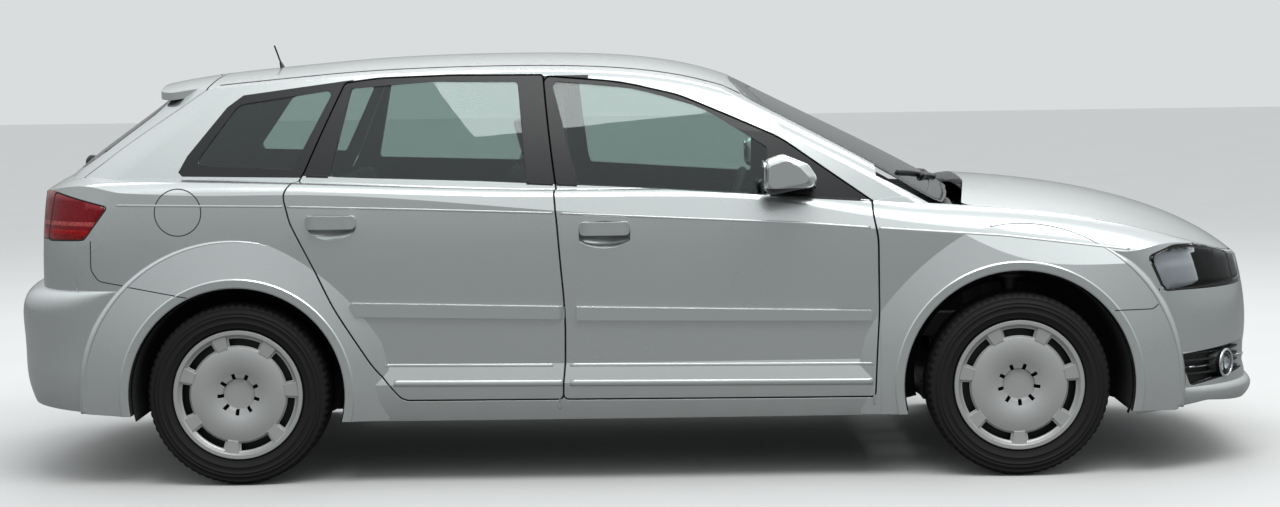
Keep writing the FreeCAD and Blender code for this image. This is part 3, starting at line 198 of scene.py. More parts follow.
# Paint over everything that looks out, another finish inside, and black where a mask says so
def paint(name, inner=None, inner_rough=0.75, black=None):
    t = Tree(name)
    flake = t.noise(1400.0, 1.0)
    cloud = t.noise(2.2, 3.0)
    base = t.mix(flake, (0.56, 0.59, 0.585), (0.72, 0.755, 0.75))
    base = t.mix(t.math("MULTIPLY", cloud, 0.25), base, (0.52, 0.545, 0.54))
    low = t.math("MULTIPLY", t.math("SUBTRACT", 0.42, t.axis(2)), 2.2, True)
    dirt = t.math("MULTIPLY", low, t.noise(9.0, 6.0, 0.7))
    base = t.mix(t.math("MULTIPLY", dirt, 0.7), base, (0.16, 0.155, 0.14))
    rough = t.mixf(dirt, t.mixf(cloud, 0.24, 0.32), 0.6)
    metal = 0.85
    coat = t.mixf(dirt, 1.0, 0.35)
    if black is not None:
        m = black(t)
        base = t.mix(m, base, (0.006, 0.006, 0.007))
        rough = t.mixf(m, rough, 0.42)
        metal = t.mixf(m, metal, 0.0)
        coat = t.mixf(m, coat, 0.0)
    if inner is not None:
        m = t.inside()
        grain = t.noise(60.0, 4.0, 0.7)
        base = t.mix(m, base, t.mix(grain, *shades(inner, 0.15)))
        rough = t.mixf(m, rough, inner_rough)
        metal = t.mixf(m, metal, 0.0)
        coat = t.mixf(m, coat, 0.0)
    normal = t.bump(t.noise(900.0, 2.0), 0.02, 0.0003, t.edge(0.0022))
    t.set(Base_Color=base, Metallic=metal, Roughness=rough, Coat_Weight=coat, Normal=normal)
    t.bsdf.inputs["Coat Roughness"].default_value = 0.03
    return t.mat


def plastic(name, color, rough=0.5, grain=700.0, depth=0.25, edge=0.001):
    t = Tree(name)
    n = t.noise(grain, 2.0)
    base = t.mix(n, *shades(color, 0.18))
    t.set(Base_Color=base, Roughness=t.mixf(t.noise(6.0, 4.0), rough * 0.85, min(1.0, rough * 1.15)))
    t.set(Normal=t.bump(n, depth, 0.0004, t.edge(edge)))
    return t.mat


def metal(name, color, rough=0.3, grain=300.0, depth=0.1, edge=0.001):
    t = Tree(name)
    n = t.noise(grain, 3.0)
    base = t.mix(t.noise(5.0, 4.0), color, tuple(v * 0.8 for v in color))
    t.set(Base_Color=base, Roughness=t.mixf(n, rough * 0.8, rough * 1.25))
    t.set(Normal=t.bump(n, depth, 0.0003, t.edge(edge)))
    t.bsdf.inputs["Metallic"].default_value = 1.0
    return t.mat


# Thin pane: what lies behind shows through its tint, with a mirror image that grows at a low angle
def pane(name, tint, ior=1.5):
    t = Tree(name)
    t.set(Base_Color=(0.95, 0.97, 0.97), Roughness=t.mixf(t.noise(14.0, 5.0), 0.01, 0.02))
    t.bsdf.inputs["Metallic"].default_value = 1.0
    clear = t.nt.nodes.new("ShaderNodeBsdfTransparent")
    clear.inputs[0].default_value = (*tint, 1.0)
    fresnel = t.nt.nodes.new("ShaderNodeFresnel")
    fresnel.inputs["IOR"].default_value = ior
    blend = t.nt.nodes.new("ShaderNodeMixShader")
    t.link(fresnel.outputs[0], blend.inputs[0])
    t.link(clear.outputs[0], blend.inputs[1])
    t.link(t.bsdf.outputs[0], blend.inputs[2])
    t.link(blend.outputs[0], t.out.inputs["Surface"])
    return t.mat


# Black parts of the side frames: round the quarter pane, and the post between the doors
QUARTER = [(-1.516, 1.034), (-1.487, 1.087), (-1.357, 1.247), (-1.303, 1.286), (-0.93, 1.333), (-1.09, 1.013),
           (-1.502, 1.020)]
POST_X, POST_HALF, POST_TOP = -0.265, 0.12, 1.338


def quarter_black(t):
    a = t.within(QUARTER)
    near = t.math("LESS_THAN", t.math("ABSOLUTE", t.math("ADD", t.axis(0), -POST_X)), POST_HALF)
    post = t.math("MULTIPLY", near, t.over_belt())
    post = t.math("MULTIPLY", post, t.math("LESS_THAN", t.axis(2), POST_TOP))
    return t.math("MAXIMUM", a, post)


def frame_black(t):
    return t.over_belt(0.004)


M = {
    "door": paint("paint_doors", (0.035, 0.036, 0.038), 0.6, frame_black),
    "side": paint("paint_side_frames", (0.06, 0.06, 0.062), 0.7, quarter_black),
    "shell": paint("paint_shell", (0.02, 0.02, 0.021), 0.8),
    "roof": paint("paint_roof", (0.34, 0.34, 0.33), 0.9),
    "trim": plastic("black_plastic", (0.018, 0.018, 0.019), 0.5),
    "gloss": plastic("black_gloss", (0.01, 0.01, 0.011), 0.2, 300.0, 0.03),
    # black rubber for seals, strips and blades, and also the painted shade in the gaps round the fuel flap
    # and at the bumper joints
    "rubber_and_gap_shade": plastic("seal_rubber_and_gap_shade", (0.012, 0.012, 0.012), 0.65, 500.0, 0.3),
    "cabin": plastic("cabin_plastic", (0.045, 0.046, 0.048), 0.6, 520.0, 0.5, 0.004),
    "under": plastic("underseal", (0.03, 0.03, 0.029), 0.85, 90.0, 0.8, 0.003),
    "liner": plastic("arch_felt", (0.012, 0.012, 0.012), 0.95, 420.0, 0.9),
    "chrome": metal("chrome", (0.78, 0.79, 0.80), 0.08, 40.0, 0.02, 0.0006),
    "reflector": metal("reflector", (0.72, 0.74, 0.76), 0.12, 60.0, 0.02),
    "steel": metal("wheel_steel", (0.05, 0.05, 0.052), 0.5, 160.0, 0.2),
    "pipe": metal("exhaust_steel", (0.24, 0.21, 0.18), 0.45, 70.0, 0.4),
    "iron": metal("cast_iron", (0.10, 0.095, 0.09), 0.6, 120.0, 0.6, 0.002),
    "glass": pane("window_glass", (0.70, 0.77, 0.75)),
    "clear": pane("lamp_glass", (0.95, 0.96, 0.97), 1.4),
    "lamp_inner": plastic("lamp_inner", (0.62, 0.64, 0.66), 0.35, 200.0, 0.05),
    "satin": metal("satin_strip", (0.55, 0.56, 0.57), 0.25, 120.0, 0.03),
    "mirror": metal("mirror_glass", (0.85, 0.87, 0.88), 0.02, 20.0, 0.0, 0.0005),
    "trim_paint": paint("paint_ridges"),
}


def dress(material, *names):
    for name in names:
        o = NODES[name]
        o.data.materials.clear()
        o.data.materials.append(M[material] if isinstance(material, str) else material)


dress("door", "door_front_left", "door_front_right", "door_rear_left", "door_rear_right")
dress("side", "side_frame_left", "side_frame_right")
dress("roof", "roof_panel")
dress("shell", "front_fenders", "front_bumper", "rear_bumper", "hood", "tailgate")
dress("trim", "cowl", "front_grille", "fog_lamps")
dress("gloss", "antenna")
dress("under", "floor_pan")
dress("liner", "arch_liners")
dress("glass", "windscreen", "quarter_glass", "tailgate_glass", "glass_front_left", "glass_front_right",
      "glass_rear_left", "glass_rear_right")
dress("cabin", "dashboard", "steering_wheel")
dress("pipe", "exhaust")
dress("iron", "engine_block", "knuckle_left", "knuckle_right", "front_subframe", "front_struts", "rear_axle")


# Mesh helpers
def new_object(name, mesh, body, material, smooth=True):
    o = bpy.data.objects.new(name, mesh)
    bpy.context.scene.collection.objects.link(o)
    mesh.materials.append(material)
    if smooth:
        for p in mesh.polygons:
            p.use_smooth = True
    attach(o, body)
    return o


def from_bmesh(name, bm, body, material, smooth=True):
    bmesh.ops.recalc_face_normals(bm, faces=bm.faces)
    mesh = bpy.data.meshes.new(name)
    bm.to_mesh(mesh)
    bm.free()
    return new_object(name, mesh, body, material, smooth)


def modify(o, kind, **values):
    m = o.modifiers.new(kind.lower(), kind)
    for k, v in values.items():
        setattr(m, k, v)


# Rotation that turns z into a direction
def facing(direction):
    return Vector(direction).normalized().to_track_quat("Z", "Y").to_matrix()


def circle(bm, at, q, r, h, n):
    angles = [2 * math.pi * k / n for k in range(n)]
    return [bm.verts.new(at + q @ Vector((r * math.cos(a), r * math.sin(a), h))) for a in angles]


# Faces between two closed rows of the same length
def bridge(bm, r0, r1):
    n = len(r0)
    for k in range(n):
        bm.faces.new((r0[k], r0[(k + 1) % n], r1[(k + 1) % n], r1[k]))


# Surface of some CAD nodes together, to throw points onto
def skin_of(*names):
    verts, faces = [], []
    for name in names:
        me = NODES[name].data
        k = len(verts)
        verts += [v.co.copy() for v in me.vertices]
        faces += [[k + i for i in p.vertices] for p in me.polygons]
    return BVHTree.FromPolygons(verts, faces)


# Ribbon that lies on a surface: a run of points, thrown onto it along one axis, broken where nothing is hit
def ribbon(name, skin, path, width, lift, side, body, material, closed=False, axis="y", start=1.3,
           sink=0.002):
    low = lift * 0.55
    section = ((-0.5, -sink), (-0.5, low), (-0.3, lift), (0.3, lift), (0.5, low), (0.5, -sink))

    def cast(u, v):
        if axis == "y":
            hit = skin.ray_cast(Vector((u, side * start, v)), Vector((0, -side, 0)))
        elif axis == "x":
            hit = skin.ray_cast(Vector((side * start, u, v)), Vector((-side, 0, 0)))
        else:
            hit = skin.ray_cast(Vector((u, v, start)), Vector((0, 0, -1)))
        return hit[0], hit[1]

    bm = bmesh.new()
    runs = [[]]
    n = len(path)
    for i, (u, v) in enumerate(path):
        a = path[i - 1] if closed or i else path[i]
        b = path[(i + 1) % n] if closed or i < n - 1 else path[i]
        du, dv = b[0] - a[0], b[1] - a[1]
        le = math.hypot(du, dv) or 1.0
        nu, nv = -dv / le, du / le
        row = []
        for s, up in section:
            p, nn = cast(u + nu * width * s, v + nv * width * s)
            if p is None:
                row = None
                break
            out = nn if nn.dot((p - Vector((0, 0, 0.6)))) > 0 else -nn
            row.append(p + out * up)
        last = runs[-1][-1] if runs[-1] else None
        if row is None or (last and (last[2] - row[2]).length > 0.08):
            runs.append([])
        if row:
            runs[-1].append(row)
    runs = [r for r in runs if len(r) > 1]
    if not runs:
        return None
    whole = closed and len(runs) == 1
    for run in runs:
        rows = [[bm.verts.new(p) for p in row] for row in run]
        pairs = list(zip(rows, rows[1:])) + ([(rows[-1], rows[0])] if whole else [])
        for r0, r1 in pairs:
            bridge(bm, r0, r1)
        if not whole:
            bm.faces.new(rows[0])
            bm.faces.new(rows[-1])
    return from_bmesh(name, bm, body, material)


def dense(points, step=0.012, closed=False):
    out = []
    seq = points + ([points[0]] if closed else [])
    for (x0, y0), (x1, y1) in zip(seq, seq[1:]):
        n = max(1, int(math.hypot(x1 - x0, y1 - y0) / step))
        for i in range(n):
            out.append((x0 + (x1 - x0) * i / n, y0 + (y1 - y0) * i / n))
    if not closed:
        out.append(points[-1])
    return out


# Even steps in x from one end to the other, at the height that a function gives
def steps_along(height, x0, x1, n):
    xs = [x0 + (x1 - x0) * i / float(n) for i in range(n + 1)]
    return [(x, height(x)) for x in xs]


def rounded(points, radius, closed=True):
    out = []
    n = len(points)
    for i in range(n):
        if not closed and i in (0, n - 1):
            out.append(points[i])
            continue
        p0, p1, p2 = (Vector(points[i - 1]), Vector(points[i]), Vector(points[(i + 1) % n]))
        a, b = (p0 - p1), (p2 - p1)
        r = min(radius, a.length * 0.45, b.length * 0.45)
        a.normalize()
        b.normalize()
        for k in range(7):
            t = k / 6.0
            q = (1 - t) ** 2 * (p1 + a * r) + 2 * t * (1 - t) * p1 + t * t * (p1 + b * r)
            out.append((q.x, q.y))
    return out


# Closed profile of (radius, v) turned about a wheel's axle, with a radius that may vary round it
def turned_mesh(bm, rows, seg, x, y, sign, vary):
    rings = []
    for k in range(seg):
        c, s = math.cos(2 * math.pi * k / seg), math.sin(2 * math.pi * k / seg)
        cut = [(r + vary(k, i), v) for i, (r, v) in enumerate(rows)]
        rings.append([bm.verts.new((x + r * c, y + sign * v, AXLE_Z + r * s)) for r, v in cut])
    for k in range(seg):
        bridge(bm, rings[k], rings[(k + 1) % seg])


# Tyres: side walls with rings, tread with grooves and cut ribs, replacing the plain CAD tyres
def tyre_material():
    t = Tree("tyre_rubber")
    n = t.noise(160.0, 5.0, 0.7)
    base = t.mix(n, (0.006, 0.006, 0.006), (0.013, 0.013, 0.012))
    dust = t.noise(14.0, 5.0, 0.7)
    base = t.mix(t.math("MULTIPLY", dust, 0.3), base, (0.026, 0.024, 0.022))
    t.set(Base_Color=base, Roughness=t.mixf(dust, 0.6, 0.85))
    t.set(Normal=t.bump(t.noise(900.0, 2.0), 0.3, 0.0003))
    t.bsdf.inputs["Specular IOR Level"].default_value = 0.25
    return t.mat


M["tyre"] = tyre_material()
SIDE_HALF = [
    (0.2085, 0.0790), (0.2120, 0.0815), (0.2172, 0.0865), (0.2210, 0.0925), (0.2240, 0.0945),
    (0.2265, 0.0940), (0.2285, 0.0950), (0.2340, 0.0983), (0.2400, 0.1000), (0.2404, 0.1008),
    (0.2420, 0.1009), (0.2424, 0.1003), (0.2520, 0.1012), (0.2600, 0.1014), (0.2604, 0.1022),
    (0.2622, 0.1021), (0.2626, 0.1011), (0.2710, 0.0995), (0.2714, 0.1002), (0.2730, 0.0998),
    (0.2734, 0.0988), (0.2810, 0.0962), (0.2860, 0.0940), (0.2866, 0.0946), (0.2890, 0.0938),
    (0.2930, 0.0912), (0.2970, 0.0860), (0.2995, 0.0790), (0.3008, 0.0700)]
TREAD_HALF = [
    (0.3012, 0.0620), (0.3013, 0.0610), (0.2945, 0.0604), (0.2945, 0.0536), (0.3016, 0.0530),
    (0.3017, 0.0240), (0.2950, 0.0234), (0.2950, 0.0156), (0.3019, 0.0150), (0.3020, 0.0000)]
TYRE_STEPS = 288
SHOULDER_CUT, RIB_CUT = -0.0055, -0.004


def tyre(label, x, y, s):
    half = SIDE_HALF + TREAD_HALF
    rows = half + [(r, -v) for r, v in reversed(half[:-1])]
    shoulder = {i for i, (r, v) in enumerate(rows) if abs(v) > 0.061 and r > 0.2925}
    rib = {i for i, (r, v) in enumerate(rows) if 0.024 < abs(v) < 0.0535 and r > 0.30}

    def vary(k, i):
        if i in shoulder and k % 4 == 0:
            return SHOULDER_CUT
        if i in rib and k % 6 == 0:
            return RIB_CUT
        return 0.0

    bm = bmesh.new()
    turned_mesh(bm, rows, TYRE_STEPS, x, y, s, vary)
    o = from_bmesh("tyre_" + label + "_tread", bm, "wheel_" + label, M["tyre"])
    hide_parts("tyre_" + label)


for wheel in WHEELS:
    tyre(*wheel)

# Wheel covers and rims keep their shape
cover_paint = Tree("cover_paint")
cover_paint.set(
    Base_Color=cover_paint.mix(cover_paint.noise(1500.0, 1.0), (0.42, 0.425, 0.42), (0.53, 0.535, 0.53)),
    Roughness=cover_paint.mixf(cover_paint.noise(30.0, 5.0, 0.7), 0.36, 0.5),
    Normal=cover_paint.bump(cover_paint.noise(700.0, 2.0), 0.03, 0.0003, cover_paint.edge(0.002)))
cover_paint.bsdf.inputs["Metallic"].default_value = 0.55
M["cover"] = cover_paint.mat
for label, x, y, s in WHEELS:
    dress("cover", "cover_" + label)
    dress("steel", "rim_" + label)


# Lamps: the outer faces of the CAD lamp become a thin lens, its inner faces a housing
def outer_shell(name, node, body, material, thick, outward=True):
    me = NODES[node].data
    bm = bmesh.new()
    bm.from_mesh(me)
    bmesh.ops.remove_doubles(bm, verts=bm.verts, dist=1e-5)
    bm.normal_update()
    drop = []
    for f in bm.faces:
        c = f.calc_center_median()
        away = c - Vector((max(-SPINE_X, min(SPINE_X, c.x)), 0, SPINE_Z))
        away.normalize()
        d = f.normal.dot(away)
        if (d < 0.35) if outward else (d > -0.2):
            drop.append(f)
    bmesh.ops.delete(bm, geom=drop, context="FACES")
    mesh = bpy.data.meshes.new(name)
    bm.to_mesh(mesh)
    bm.free()
    o = new_object(name, mesh, body, material)
    modify(o, "SOLIDIFY", thickness=thick, offset=-1.0)
    return o


# Reflector bowl with a lip and a back, open towards the direction
def bowl(name, at, direction, r, depth, body, material, seg=36):
    lip, wall = 0.004, 0.004
    rows = [(r * i / 10.0, -depth + depth * (i / 10.0) ** 2.0) for i in range(1, 11)]
    rows += [(r + lip, 0.0), (r + lip, -wall)]
    for i in range(6, -1, -1):
        back = -wall - depth * 1.02 * (1 - (i / 6.0) ** 2.0)
        rows.append((r + lip - 0.002 - (r * 0.9) * (1 - i / 6.0), back))
    bm = bmesh.new()
    q = facing(direction)
    rings = []
    for k in range(seg):
        c, s = math.cos(2 * math.pi * k / seg), math.sin(2 * math.pi * k / seg)
        rings.append([bm.verts.new(Vector(at) + q @ Vector((rr * c, rr * s, h))) for rr, h in rows])
    for k in range(seg):
        r0, r1 = rings[k], rings[(k + 1) % seg]
        for i in range(len(rows) - 1):
            bm.faces.new((r0[i], r0[i + 1], r1[i + 1], r1[i]))
    bm.faces.new([ring[0] for ring in rings])
    bm.faces.new([ring[-1] for ring in reversed(rings)])
    return from_bmesh(name, bm, body, material)


# Round cap with a short skirt
def dome(name, at, direction, r, high, body, material, seg=36):
    bm = bmesh.new()
    q = facing(direction)
    vs = []
    for i in range(8):
        a = math.pi / 2 * i / 8.0
        vs.append(circle(bm, Vector(at), q, r * math.cos(a), high * math.sin(a), seg))
    top = bm.verts.new(Vector(at) + q @ Vector((0, 0, high)))
    for r0, r1 in zip(vs, vs[1:]):
        bridge(bm, r0, r1)
    for k in range(seg):
        bm.faces.new((vs[-1][k], vs[-1][(k + 1) % seg], top))
    base = [bm.verts.new(v.co - q @ Vector((0, 0, 0.004))) for v in vs[0]]
    bridge(bm, base, vs[0])
    bm.faces.new(list(reversed(base)))
    return from_bmesh(name, bm, body, material)


# Round bead laid in a circle
def ring(name, at, direction, r, bead, body, material, seg=48, around=12):
    bm = bmesh.new()
    q = facing(direction)
    rows = []
    for k in range(seg):
        c, s = math.cos(2 * math.pi * k / seg), math.sin(2 * math.pi * k / seg)
        row = []
        for j in range(around):
            b = 2 * math.pi * j / around
            reach = r + bead * math.cos(b)
            row.append(bm.verts.new(Vector(at) + q @ Vector((reach * c, reach * s, bead * math.sin(b)))))
        rows.append(row)
    for k in range(seg):
        bridge(bm, rows[k], rows[(k + 1) % seg])
    return from_bmesh(name, bm, body, material)


# Flat plate from an outline, with bevelled edges
def slab(name, corners, thick, direction, body, material, bevel):
    bm = bmesh.new()
    d = Vector(direction).normalized() * thick
    a = [bm.verts.new(Vector(c)) for c in corners]
    b = [bm.verts.new(Vector(c) + d) for c in corners]
    bm.faces.new(a)
    bm.faces.new(list(reversed(b)))
    n = len(a)
    for i in range(n):
        bm.faces.new((a[i], b[i], b[(i + 1) % n], a[(i + 1) % n]))
    o = from_bmesh(name, bm, body, material, False)
    modify(o, "BEVEL", width=bevel, segments=2)
    return o


lens = outer_shell("headlamp_lenses", "headlamps", "chassis", M["clear"], 0.003)
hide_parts("headlamps")
housing = outer_shell("headlamp_housings", "headlamps", "chassis", M["lamp_inner"], 0.002, outward=False)
HEADLAMP_BOWLS = ((1.925, 0.628, 0.668, 0.040), (1.838, 0.690, 0.672, 0.034))
for side, g in SIDES:
    out = (0.82, 0.55 * g, 0.1)
    for i, (x, y, z, r) in enumerate(HEADLAMP_BOWLS):
        o = bowl("headlamp_bowl_%s_%d" % (side, i), (x, y * g, z), out, r, 0.03, "chassis", M["reflector"])
        at = (x - 0.018, (y - 0.012) * g, z)
        b = dome("headlamp_bulb_%s_%d" % (side, i), at, out, r * 0.32, 0.02, "chassis", M["clear"])

# Tail lamp lens: dark red above, bright red below, a pale band between, small cells all over
TAIL_BAND_Z, TAIL_BAND_HALF, TAIL_LOW_Z = 0.872, 0.007, 0.852
tail = Tree("tail_lens")
band = tail.math("ABSOLUTE", tail.math("SUBTRACT", tail.axis(2), TAIL_BAND_Z))
band = tail.math("LESS_THAN", band, TAIL_BAND_HALF)
low = tail.math("LESS_THAN", tail.axis(2), TAIL_LOW_Z)
color = tail.mix(low, (0.30, 0.003, 0.014), (0.62, 0.008, 0.008))
color = tail.mix(band, color, (0.72, 0.13, 0.12))
cells = tail.cells(160.0)
color = tail.mix(tail.math("MULTIPLY", cells, 0.9, True), color, (0.10, 0.002, 0.004))
tail.set(Base_Color=color, Roughness=0.06, Normal=tail.bump(cells, 0.15, 0.0006))
tail.bsdf.inputs["Specular IOR Level"].default_value = 0.35
M["tail"] = tail.mat
lens = outer_shell("tail_lamp_lenses", "tail_lamps", "chassis", M["tail"], 0.003)
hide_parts("tail_lamps")
housing = outer_shell("tail_lamp_housings", "tail_lamps", "chassis", M["trim"], 0.002, outward=False)

# Seals under the side windows
def seal_height(x):
    return BELT[0] + BELT[1] * x + BELT[2] * x * x + 0.004


for side, g in SIDES:
    for door, x0, x1 in (("front", 0.752, -0.250), ("rear", -0.262, -1.140)):
        body = "door_%s_%s" % (door, side)
        path = steps_along(seal_height, x0, x1, 60)
        name = "waist_seal_%s_%s" % (door, side)
        o = ribbon(name, skin_of(body), path, 0.009, 0.003, g, body, M["rubber_and_gap_shade"])

# Fuel flap on the right rear side: a dark ring laid round it as painted shade in its gap
FLAP_X, FLAP_Z, FLAP_R = -1.497, 0.908, 0.077
turns = [2 * math.pi * k / 90 for k in range(90)]
path = [(FLAP_X + FLAP_R * math.cos(a), FLAP_Z + FLAP_R * math.sin(a)) for a in turns]
skin = skin_of("side_frame_right")
o = ribbon("fuel_flap_gap_shade", skin, path, 0.0035, 0.0004, -1, "chassis", M["rubber_and_gap_shade"], True)


# Lines pressed into the body, thrown onto each panel by itself
def along(points, x):
    for (x0, z0), (x1, z1) in zip(points, points[1:]):
        if x0 <= x <= x1:
            return z0 + (z1 - z0) * (x - x0) / (x1 - x0)
    return points[-1][1]


def pressed(name, panel, side, g, path, width, lift):
    node = panel if panel == "front_fenders" else panel + "_" + side
    body = node if panel.startswith("door") else "chassis"
    full = "%s_%s_%s" % (name, panel, side)
    o = ribbon(full, skin_of(node), path, width, lift, g, body, M["trim_paint"])


CREASE = [(-1.700, 0.934), (-1.146, 0.923), (-0.700, 0.908), (-0.246, 0.890), (0.548, 0.848), (0.790, 0.828),
          (1.214, 0.796), (1.632, 0.743)]
CREASE_PANELS = (("side_frame", -1.700, -1.150), ("door_rear", -1.134, -0.262), ("door_front", -0.240, 0.778),
                 ("front_fenders", 0.806, 1.630))
SILL_LINE = [(-1.0, 0.338), (0.9, 0.320)]
SILL_PANELS = (("door_rear", -0.795, -0.240, 0.030), ("door_front", -0.214, 0.782, 0.0))
# Joints of quarter panel and rear bumper, and of fender and front bumper, where a dark strip is laid as
# painted shade of the gap
QUARTER_GAP_SHADE = [(-1.792, 0.817), (-1.793, 0.720), (-1.767, 0.684), (-1.468, 0.629)]
FENDER_GAP_SHADE = [(1.730, 0.611), (1.730, 0.572), (1.705, 0.548), (1.573, 0.546)]
HEADLAMP = [(1.693, 0.718), (1.782, 0.751), (1.904, 0.740), (1.998, 0.713), (2.019, 0.613), (1.747, 0.603)]
TAIL_LAMP = [(-1.730, 0.929), (-1.816, 0.819), (-1.963, 0.813), (-1.930, 0.976)]
for side, g in SIDES:
    for panel, x0, x1 in CREASE_PANELS:
        path = steps_along(lambda x: along(CREASE, x), x0, x1, 70)
        pressed("crease", panel, side, g, path, 0.007, 0.0011)
    for panel, x0, x1, back in SILL_PANELS:
        path = steps_along(lambda x: along(SILL_LINE, x), x0, x1, 60)
        pressed("sill_ridge", panel, side, g, path, 0.020, 0.0045)
        path = [(x - back, z + 0.058) for x, z in path]
        pressed("sill_crease", panel, side, g, path, 0.010, 0.0012)
    # Dark strips along these joints: painted shade in the gaps
    for name, nodes, points in (("quarter_gap_shade", ("side_frame_" + side, "rear_bumper"), QUARTER_GAP_SHADE),
                                ("fender_gap_shade", ("front_fenders", "front_bumper"), FENDER_GAP_SHADE)):
        path = dense(rounded(points, 0.012, False), 0.008)
        o = ribbon("%s_%s" % (name, side), skin_of(*nodes), path, 0.0035, 0.0004, g, "chassis", M["rubber_and_gap_shade"])
    path = dense(rounded(HEADLAMP, 0.018), 0.008, True)
    skin = skin_of("headlamps", "front_fenders", "front_bumper", "hood")
    o = ribbon("headlamp_edge_" + side, skin, path, 0.006, 0.0006, g, "chassis", M["rubber_and_gap_shade"], True)
    path = dense(rounded(TAIL_LAMP, 0.016), 0.008, True)
    skin = skin_of("tail_lamps", "side_frame_" + side, "rear_bumper")
    o = ribbon("tail_lamp_edge_" + side, skin, path, 0.005, 0.0006, g, "chassis", M["rubber_and_gap_shade"], True)


# The outer edge of the swell round each arch is rolled down onto the corners of the bumpers
SWELL, MAX_STEP, MIN_STEP, ROLL_RADIUS = 0.149, 0.075, 0.0006, 0.026


def rolled_edge(name, x, arch, nodes, g, a0, a1):
    skin = skin_of(*nodes)
    rim = arch + SWELL

    def depth(a, r):
        start = Vector((x + r * math.cos(a), 1.3 * g, AXLE_Z + r * math.sin(a)))
        hit = skin.ray_cast(start, Vector((0, -g, 0)))[0]
        return abs(hit.y) if hit else None

    def mean(values):
        return sum(values) / len(values)

    n = 120
    angles = [math.radians(a0 + (a1 - a0) * k / n) for k in range(n + 1)]
    top = [depth(a, rim) for a in angles]
    steps = []
    for a, y in zip(angles, top):
        low = depth(a, rim + 0.010)
        steps.append(y - low if y and low and y - low < MAX_STEP else None)
    known = [k for k in range(n + 1) if steps[k] is not None]
    filled = [steps[min(known, key=lambda q: abs(q - k))] for k in range(n + 1)]
    smooth = [mean(filled[max(0, k - 4):k + 5]) for k in range(n + 1)]
    bm = bmesh.new()
    rows = []
    for k, a in enumerate(angles):
        if top[k] is None or smooth[k] < MIN_STEP:
            continue
        h = smooth[k] + 0.004
        w = min(ROLL_RADIUS, 0.9 * h)
        row = []
        for j in range(9):
            t = math.pi / 2 * j / 8.0
            r, y = rim + w * math.sin(t), top[k] + 0.0004 - h * (1.0 - math.cos(t))
            row.append(bm.verts.new((x + r * math.cos(a), y * g, AXLE_Z + r * math.sin(a))))
        row.append(bm.verts.new((x + rim * math.cos(a), (top[k] - h) * g, AXLE_Z + rim * math.sin(a))))
        rows.append((k, row))
    for (k0, r0), (k1, r1) in zip(rows, rows[1:]):
        if k1 - k0 > 1:
            bm.faces.new(r0)
            bm.faces.new(r1)
        else:
            bridge(bm, r0, r1)
    bm.faces.new(rows[0][1])
    bm.faces.new(rows[-1][1])
    o = from_bmesh(name, bm, "chassis", M["trim_paint"])


for side, g in SIDES:
    nodes = ("front_fenders", "front_bumper")
    rolled_edge("front_arch_edge_" + side, FRONT_X, FRONT_ARCH, nodes, g, -9.6, 100.0)
    nodes = ("side_frame_" + side, "rear_bumper")
    rolled_edge("rear_arch_edge_" + side, REAR_X, REAR_ARCH, nodes, g, 80.0, 189.8)

# Roof joint strips and the dark borders printed on the glass
roof_skin = skin_of("roof_panel", "side_frame_left", "side_frame_right")
for side, g in SIDES:
    path = dense([(-1.395, 0.545 * g), (0.395, 0.545 * g)], 0.03)
    o = ribbon("roof_strip_" + side, roof_skin, path, 0.012, 0.0014, 1, "chassis", M["rubber_and_gap_shade"],
               axis="z", start=1.8)


def border(name, node, points, side, width, body):
    ringed = points + [(-y, z) for y, z in reversed(points)]
    path = dense(rounded(ringed, 0.05), 0.02, True)
    o = ribbon(name, skin_of(node), path, width, 0.0004, side, body, M["gloss"], True, "x", 3.0, 0.0006)


WINDSCREEN = [(0.30, 0.945), (0.690, 0.914), (0.550, 1.238), (0.30, 1.296)]
TAIL_GLASS = [(0.30, 1.052), (0.545, 1.064), (0.496, 1.236), (0.30, 1.266)]
border("windscreen_border", "windscreen", WINDSCREEN, 1, 0.030, "chassis")
border("tail_glass_border", "tailgate_glass", TAIL_GLASS, -1, 0.028, "tailgate")


# Wipers lie on the glass: arm, blade and a cap over the rear spindle
def wiper(name, nodes, axis, side, start, hub, knee, tip, body):
    skin = skin_of(*nodes)
    mid = ((knee[0] + hub[0]) / 2, (knee[1] + hub[1]) / 2)
    arm = ribbon(name + "_arm", skin, dense([hub, knee], 0.02), 0.016, 0.016, side, body, M["gloss"],
                 axis=axis, start=start)
    blade = ribbon(name + "_blade", skin, dense([mid, tip], 0.02), 0.010, 0.010, side, body, M["rubber_and_gap_shade"],
                   axis=axis, start=start)


FRONT_GLASS = ("windscreen", "cowl")
wiper("wiper_left", FRONT_GLASS, "z", 1, 1.8, (1.040, 0.42), (1.055, 0.16), (1.045, -0.10), "chassis")
wiper("wiper_right", FRONT_GLASS, "z", 1, 1.8, (1.055, -0.16), (0.985, -0.42), (0.885, -0.62), "chassis")
REAR_GLASS = ("tailgate_glass",)
wiper("wiper_rear", REAR_GLASS, "x", -1, 3.0, (0.0, 1.050), (0.18, 1.075), (0.36, 1.082), "tailgate")
lo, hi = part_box("tailgate_glass")
at = (lo.x - 0.004, 0.0, 1.044)
cap = dome("wiper_rear_cap", at, (-0.8, 0, 0.5), 0.026, 0.022, "tailgate", M["gloss"])

